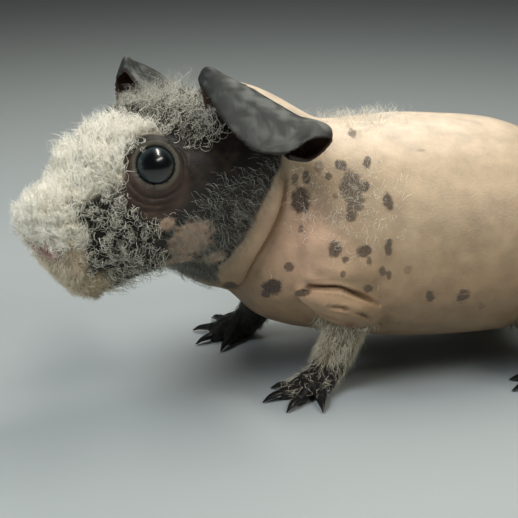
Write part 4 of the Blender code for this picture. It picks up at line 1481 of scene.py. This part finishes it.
    def build(self) -> None:
        """Makes the skin, presses its creases, colours it and stands it for the flesh nodes."""
        shell = self.softened(self.merged())
        carrier = mesh_object("carrier", shell)
        bpy.context.view_layer.update()
        creases = self.creases(carrier)
        bpy.data.objects.remove(carrier)
        for crease in creases:
            crease.press(shell, shell.normals())
        self.open_sockets(shell)
        shell.points[:, 2] = np.maximum(shell.points[:, 2], 0.0)
        share = min(1.0, self.most_triangles / len(shell.faces))
        self.shell = through_modifier(shell, "DECIMATE", ratio=share)
        self.normals = self.shell.normals()
        obj = mesh_object(self.name, self.shell)
        self.dress(obj, [crease for crease in creases if crease.shade])
        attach(obj, "root")
        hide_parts(*[node for node in frame["nodes"] if node.startswith(FLESH)])
        LOG.info("skin: %d triangles", len(self.shell.faces))

    def dress(self, obj: bpy.types.Object, shaded: list[Crease]) -> None:
        """Colours the skin by its markings, and paints shadow into the shaded creases."""
        bpy.context.view_layer.update()
        markings = Markings()
        points = self.shell.points
        self.fields = markings.read(points, self.legs, self.ears)
        head, ear, leg = (self.fields[name] for name in ("head", "ear", "leg"))
        tint = markings.tint(points, self.fields)
        # painted shadow: each shaded crease darkens the skin's colour towards the groove's shadow colour
        shadow = np.max([crease.shadow(points) for crease in shaded], axis=0)
        store(obj.data, "tint", tint + (tint * self.groove - tint) * shadow[:, None])
        spot, dark = markings.spots(points, obj)
        bare = 1 - np.clip(head + ear + leg, 0, 1)
        wrinkled = 1 - 0.75 * ear - 0.3 * head
        marks = np.stack([spot * bare, dark * bare, self.fields["pink"] * head, wrinkled], -1)
        store(obj.data, "marks", marks)
        obj.data.materials.append(BareSkin().material())


@dataclass
class Eye:
    """A dark eye: a ball with the cornea's bulge, whose colours go by the angle from the way it looks."""

    side: str
    radius: float = 5.4
    bulge: float = 0.25
    bulge_angle: float = 0.6
    gaze_reach: float = 1.3

    def build(self) -> None:
        """The ball, its radius raised by bulge * exp(-(angle / 0.6)^2), with its gaze as an attribute."""
        centre, axis = BODY.eye(self.side)
        side, up, _ = axes_along(axis)
        shell = ball(np.zeros(3), self.radius, axes_along(axis), 72)
        angle = np.arccos(np.clip(unit(shell.points) @ axis, -1, 1))
        grown = 1 + self.bulge / self.radius * bell(angle / self.bulge_angle)
        shell.points = centre + shell.points * grown[:, None]
        obj = mesh_object("eyeball_" + self.side, shell)
        way = unit(shell.points - centre)
        gaze = np.stack([angle / self.gaze_reach, way @ side, way @ up, np.ones_like(angle)], -1)
        store(obj.data, "gaze", gaze)
        obj.data.materials.append(WetEye().material())
        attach(obj, "root")
        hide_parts("eye_" + self.side)


class Flow(Enum):
    """What the direction that hairs lie along is given in."""

    HEAD = "forward, left and up of the head"
    BODY = "x, y and z, with y mirrored on the right side"


@dataclass(frozen=True)
class Hair:
    """One kind of hair: how many, where, how long and thick, how it lies and curls, and its two tones."""

    name: str
    zone: str
    count: int
    length: tuple
    radius: float
    lean: float
    flow: tuple
    tones: tuple
    curl: float = 0.1
    turns: float = 0.3
    rings: int = 4
    wild: float = 0.2
    swirl: float = 0.5
    frame: Flow = Flow.HEAD
    # how wide the tufts are that it grows in, how far a hair joins its lock, and how many hairs do
    clump: float = 0.0
    lock: float = 0.4
    per_lock: int = 14
    # how the length changes with the distance forward of the neck pivot
    growth: tuple = ((0.0, 1.0), (1.0, 1.0))


WHITE = ("fffff6", "fbf5e2")
PALE = ("f9f7e8", "b3b09d")
GREY = ("b9b8aa", "605f55")
CREAM = ("f8f1de", "d0be9a")
STRAW = ("f6f0dc", "a99c7c")
BLACK = ("17160f", "322f25")
SOOT = ("24231f", "5b5950")
BRIDGE_GROWTH = (
    (24.0, 0.7), (33.0, 0.9), (38.0, 1.25), (43.0, 1.2), (48.0, 0.8), (52.0, 0.45), (56.0, 0.35)
)
CROWN_GROWTH = ((8.0, 1.0), (19.0, 1.0), (26.0, 0.55), (32.0, 0.35))
NOSE_GROWTH = ((54.0, 0.6), (57.0, 1.2), (60.0, 1.1), (63.0, 0.8))
HAIRS = (
    Hair("bridge_under", "bridge", 9000, (1.4, 2.8), 0.07, 0.4, (0.1, 0.1, 1.0), WHITE, 0.1, 0.5, 4, 0.3, 0.9),
    Hair(
        "bridge_wool", "bridge", 7600, (3.0, 5.6), 0.1, 0.4, (0.1, 0.1, 1.0), WHITE, 0.17, 0.9, 5, 0.35, 1.0,
        lock=0.3, growth=BRIDGE_GROWTH,
    ),
    Hair(
        "nose_wool", "nose", 5600, (2.0, 4.4), 0.09, 0.42, (-0.1, 0.15, 1.0), WHITE, 0.17, 0.9, 5, 0.35, 0.9,
        growth=NOSE_GROWTH,
    ),
    Hair("lip_wool", "lip", 3000, (1.2, 2.6), 0.06, 0.5, (-0.2, 0.2, -0.5), CREAM, 0.18, 0.7, 4, 0.4, 0.8),
    Hair(
        "cheek_wool", "cheek", 3100, (2.4, 4.6), 0.078, 0.35, (-0.3, 0.0, 0.2), PALE, 0.2, 1.0, 8, 0.45, 1.2,
        clump=2.2, lock=0.4,
    ),
    Hair("cheek_dark", "cheek", 4000, (1.0, 2.2), 0.08, 0.5, (-0.3, 0.0, 0.0), BLACK, 0.2, 0.8, 4, 0.3, 1.2),
    Hair(
        "crown_wool", "crown", 1150, (5.0, 9.5), 0.06, 0.3, (-0.2, 0.0, 0.5), PALE, 0.15, 1.7, 14, 0.7, 1.2,
        clump=2.4, lock=0.3, growth=CROWN_GROWTH,
    ),
    Hair("crown_dark", "crown", 3000, (2.6, 5.0), 0.07, 0.4, (-0.6, 0.0, 0.3), BLACK, 0.2, 0.8, 5, 0.4, 1.0),
    Hair("jowl_wool", "jowl", 5200, (1.8, 4.2), 0.045, 0.68, (-0.5, 0.1, -0.9), GREY, 0.17, 0.9, 6, 0.5, 0.9),
    Hair("chin_wool", "chin", 3000, (1.2, 2.6), 0.06, 0.55, (-0.4, 0.0, -0.4), CREAM, 0.18, 0.7, 4, 0.4),
    Hair(
        "fore_wool", "forearm", 4200, (1.8, 3.8), 0.06, 0.74, (-0.15, 0.0, -1.0), STRAW,
        0.14, 0.8, 5, 0.35, 0.7, Flow.BODY,
    ),
    Hair(
        "fore_dark", "far_forearm", 2600, (1.4, 2.8), 0.055, 0.72, (-0.15, 0.0, -1.0), SOOT,
        0.14, 0.7, 4, 0.3, 0.7, Flow.BODY,
    ),
    Hair(
        "hind_wool", "hind_leg", 1500, (1.2, 2.4), 0.06, 0.7, (-0.5, 0.0, -0.8), BLACK,
        0.08, 0.4, 4, 0.3, 0.4, Flow.BODY,
    ),
    Hair(
        "shoulder_wool", "shoulder", 1100, (1.4, 3.4), 0.036, 0.6, (0.6, 0.0, -0.6), WHITE,
        0.25, 1.0, 6, 0.6, 1.2, Flow.BODY,
    ),
    Hair(
        "withers_wool", "withers", 360, (2.0, 4.6), 0.04, 0.3, (0.3, 0.0, 0.6), WHITE,
        0.22, 0.8, 6, 0.8, 0.8, Flow.BODY,
    ),
)


@dataclass
class Coat:
    """Woolly fuzz: each hair a three-sided tapering tube rooted in the skin, in pieces by kind and side."""

    skin: Skin
    # a hair's patch on the bake map, as a share of the map
    patch: float = 0.003
    root_depth: float = 0.15
    # how high the legs' strips of the map reach, and the angles of a hair's three corners
    leg_map_top: float = 24.0
    corners: tuple = (0.0, 2.0944, 4.1888)

    def unwrap(self, points: np.ndarray) -> np.ndarray:
        """Places on a flat map: the angle round the head's axis and the way forward, legs in strips."""
        head = BODY.to_head(points)
        around = 0.5 + np.arctan2(head[:, 1], head[:, 2] + 8.0) / (2 * math.pi)
        ahead = 0.3 + 0.68 * np.clip((head[:, 0] + 110.0) / 175.0, 0.0, 1.0)
        x, y, z = points.T
        strip = (x > 30) * 2 + (y > 0)
        turn = 0.5 + np.arctan2(y - np.sign(y) * 22.0, x % 60.0 - 8.0) / (2 * math.pi)
        leg = z < self.leg_map_top
        around = np.where(leg, (strip + 0.05 + 0.9 * turn) / 4, around)
        ahead = np.where(leg, 0.01 + 0.27 * z / self.leg_map_top, ahead)
        return np.clip(np.stack([around, ahead], -1), self.patch, 1 - self.patch)

    def roots(self, density: np.ndarray, count: int, chance: np.random.Generator) -> tuple:
        """Random roots and normals on the skin, as many in each triangle as its area and density give."""
        shell = self.skin.shell
        a, b, c = (shell.points[shell.faces[:, k]] for k in range(3))
        weight = np.linalg.norm(np.cross(b - a, c - a), axis=1) * density[shell.faces].mean(1)
        total = np.cumsum(weight)
        face = np.minimum(np.searchsorted(total, chance.random(count) * total[-1]), len(total) - 1)
        s, t = chance.random((2, count))
        s, t = np.where(s + t > 1, (1 - s, 1 - t), (s, t))
        share = np.stack([1 - s - t, s, t], -1)[..., None]
        normals = self.skin.normals[shell.faces[face]]
        return (shell.points[shell.faces[face]] * share).sum(1), unit((normals * share).sum(1))

    def flows(
        self, hair: Hair, roots: np.ndarray, normals: np.ndarray, chance: np.random.Generator
    ) -> np.ndarray:
        """The unit vectors along the skin that the hairs lie by, swirled and made wild."""
        flow = np.tile(np.array(hair.flow, float), (len(roots), 1))
        if hair.frame is Flow.HEAD:
            flow[:, 1] *= np.where(BODY.to_head(roots)[:, 1] < 0, -1.0, 1.0)
            flow = BODY.head_point(*flow.T) - BODY.head_point(0.0, 0.0, 0.0)
        else:
            flow[:, 1] *= np.where(roots[:, 1] > 0, -1.0, 1.0)
        swirl = np.stack([streaks(roots, 4.0, seed) for seed in (21, 22, 23)], -1)
        flow = flow + hair.wild * chance.normal(size=(len(roots), 3)) + hair.swirl * swirl
        return unit(flow - (flow * normals).sum(1, keepdims=True) * normals)

    def strands(
        self, hair: Hair, roots: np.ndarray, normals: np.ndarray, chance: np.random.Generator
    ) -> np.ndarray:
        """The middle lines of the hairs, (count, rings, 3).

        root + length * (way * t + flow * lean * t^2 / 2 + curl * (a circle from its own start)), where way
        leans from the normal to the flow, and the circle goes turns times round. Towards its tip each hair
        then joins the leader of its lock.
        """
        count = len(roots)
        flow = self.flows(hair, roots, normals, chance)
        way = unit(normals * (1 - hair.lean) + flow * hair.lean)
        growth = np.interp(BODY.to_head(roots)[:, 0], *np.transpose(hair.growth))
        length = chance.uniform(*hair.length, count) * growth
        length = (length * (1 + 0.25 * streaks(roots, 2.5, 24)))[:, None, None]
        t = np.linspace(0.0, 1.0, hair.rings)[None, :, None]
        one = unit(np.cross(way, normals + 0.1 * chance.normal(size=(count, 3))))
        two = np.cross(way, one)
        start = (math.pi * (2 * streaks(roots, 3.0, 25) + chance.uniform(-0.35, 0.35, count)))[:, None, None]
        spin = start + t * 2 * math.pi * hair.turns * chance.uniform(0.6, 1.4, (count, 1, 1))
        circle = one[:, None] * (np.cos(spin) - np.cos(start)) + two[:, None] * (np.sin(spin) - np.sin(start))
        line = way[:, None] * t + flow[:, None] * 0.5 * hair.lean * t**2 + circle * hair.curl
        lines = roots[:, None] - self.root_depth * normals[:, None] + length * line
        leaders = chance.choice(count, max(1, count // hair.per_lock), replace=False)
        first = roots[leaders][None]
        parts = np.array_split(roots, 40)
        leads = np.concatenate([((part[:, None] - first) ** 2).sum(2).argmin(1) for part in parts])
        return lines + hair.lock * t**1.3 * (lines[leaders][leads] - lines)

    def tubes(self, hair: Hair, lines: np.ndarray, normals: np.ndarray, chance: np.random.Generator) -> Shell:
        """Three-sided tubes round the lines, thinning as (1 - t)^0.7 and kept off the floor."""
        count, rings = lines.shape[:2]
        tangent = unit(np.gradient(lines, axis=1))
        across = unit(np.cross(tangent, normals[:, None] + 0.01))
        other = np.cross(tangent, across)
        fall = np.maximum((1 - np.linspace(0.0, 1.0, rings)) ** 0.7, 0.02)[:, None, None]
        thick = hair.radius * chance.uniform(0.75, 1.25, (count, 1, 1, 1)) * fall
        turn = np.array(self.corners)[:, None]
        ring = across[:, :, None] * np.cos(turn) + other[:, :, None] * np.sin(turn)
        points = lines[:, :, None] + thick * ring
        points[..., 2] = np.maximum(points[..., 2], 0.02)
        tip = 3 * (rings - 1)
        one = np.concatenate([grid_faces(rings, 3), [[2, 1, 0]], [[tip, tip + 1, tip + 2]]])
        faces = (np.arange(count)[:, None, None] * rings * 3 + one[None]).reshape(-1, 3)
        return Shell(points.reshape(-1, 3), faces)

    def piece(self, hair: Hair, side: str, density: np.ndarray, count: int, seed: int) -> None:
        """Makes one piece, with a patch of OFBake map and tones for each hair.

        Args:
            hair: its kind.
            side: left or right.
            density: the kind's share at each point of the skin.
            count: how many hairs.
            seed: for its chance.
        """
        chance = np.random.default_rng(seed)
        roots, normals = self.roots(density, count, chance)
        shell = self.tubes(hair, self.strands(hair, roots, normals, chance), normals, chance)
        obj = mesh_object(f"{hair.name}_{side}", shell)
        along, across = np.linspace(-0.5, 0.5, hair.rings), np.array([-0.5, 0.0, 0.5])
        spread = np.stack(np.meshgrid(along, across, indexing="ij"), -1)
        uv = (self.unwrap(roots)[:, None, None] + spread * self.patch).reshape(-1, 2)[shell.faces.ravel()]
        obj.data.uv_layers.new(name="OFBake").data.foreach_set("uv", uv.astype(np.float32).ravel())
        first, second = (np.array(colour(code)) for code in hair.tones)
        to_tip = 0.2 * np.linspace(0, 1, hair.rings)[:, None, None]
        share = np.clip(chance.random((count, 1, 1, 1)) * 0.8 + to_tip, 0, 1)
        tone = np.broadcast_to(first + (second - first) * share, (count, hair.rings, 3, 4))
        store(obj.data, "tone", tone)
        obj.data.materials.append(bpy.data.materials[Wool.name])
        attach(obj, "root")
        LOG.info("%s: %d hairs, %d triangles", obj.name, count, len(shell.faces))

    def build(self) -> None:
        """Grows every kind of hair, the two sides in pieces of their own."""
        Wool().material()
        left = self.skin.fields["left"]
        for number, hair in enumerate(HAIRS):
            density = self.skin.fields[hair.zone]
            if hair.clump:
                density = density * ease(streaks(self.skin.shell.points, hair.clump, 40 + number), -0.5, 0.5)
            count = hair.count // 2
            for late, (side, share) in enumerate((("left", left), ("right", 1 - left))):
                if (density * share).sum() > 0:
                    self.piece(hair, side, density * share, count, 100 + 2 * number + late)


@dataclass(frozen=True)
class Lamp:
    """One soft rectangular light: sizes in metres, places in millimetres of the body's frame."""

    name: str
    at: tuple
    towards: tuple
    size: tuple
    watts: float
    tint: str
    spread: float
    mirrored: bool = False

    def build(self) -> None:
        """Makes the light, which shows in mirrored surfaces only if it is mirrored."""
        data = bpy.data.lights.new(self.name, "AREA")
        data.shape = "RECTANGLE"
        data.size, data.size_y = self.size
        data.energy = self.watts
        data.color = colour(self.tint)[:3]
        data.spread = math.radians(self.spread)
        lamp = add_object(self.name, data)
        lamp.visible_glossy = self.mirrored
        lamp.matrix_world = aimed(np.array(self.at), np.subtract(self.at, self.towards))


@dataclass(frozen=True)
class Studio:
    """The pale floor and the soft lights."""

    half_floor: float = 3000.0
    floor_tone: str = "a1a8a7"
    floor_roughness: float = 0.55
    air_tone: str = "cdd3d6"
    air_strength: float = 0.08
    # the two ceiling strips: the way from the left eye, and watts
    strips: tuple = (("strip_above", (0.33, 0.06, 0.94), 1.28), ("strip_front", (0.46, -0.52, 0.72), 0.74))
    strip_distance: float = 900.0
    soft_lamps: tuple = (
        Lamp("broad", (250, 420, 720), (10, 0, 30), (0.6, 0.5), 0.4, "fff8ee", 60.0),
        Lamp("window", (-520, -260, 620), (-40, 0, 40), (0.5, 0.5), 0.98, "f4f8ff", 60.0),
    )

    def build(self) -> None:
        """Floor, two strips that the eye mirrors, soft lights behind and in front, and the air's light."""
        edge = self.half_floor
        corners = np.array([[-edge, -edge, 0], [edge, -edge, 0], [edge, edge, 0], [-edge, edge, 0]])
        floor = mesh_object("floor", Shell(corners, np.array([[0, 1, 2], [0, 2, 3]])), False)
        material, tree, shader = new_material("matte_laminate_table")
        looks = {"Base Color": colour(self.floor_tone), "Roughness": self.floor_roughness}
        set_inputs(tree, shader, looks)
        floor.data.materials.append(material)
        eye = BODY.eye("left")[0]
        for name, way, watts in self.strips:
            at = eye + self.strip_distance * np.array(way)
            Lamp(name, tuple(at), tuple(eye), (0.55, 0.13), watts, "fffaf0", 100.0, True).build()
        for lamp in self.soft_lamps:
            lamp.build()
        world = bpy.data.worlds.new("studio")
        world.use_nodes = True
        air = {"Color": colour(self.air_tone), "Strength": self.air_strength}
        set_inputs(world.node_tree, world.node_tree.nodes["Background"], air)
        bpy.context.scene.world = world
        bpy.context.scene.view_settings.view_transform = "Standard"


def main() -> None:
    """Builds the model piece by piece, then the studio."""
    logging.basicConfig(level=logging.INFO, format="%(name)s: %(message)s")
    VIEW.build()
    Studio().build()
    skin = Skin(LEGS, (Ear("left", 0.0), Ear("right", 8.0)))
    skin.build()
    for side in SIDES:
        Eye(side).build()
    horn = Horn().material()
    for leg in LEGS:
        claws = mesh_object("claws_" + leg.name, Toes(leg).build_claws())
        claws.data.materials.append(horn)
        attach(claws, "root")
        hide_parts(*[node for node in frame["nodes"] if node.startswith("claw_" + leg.name)])
    Coat(skin).build()


if __name__ == "__main__":
    main()
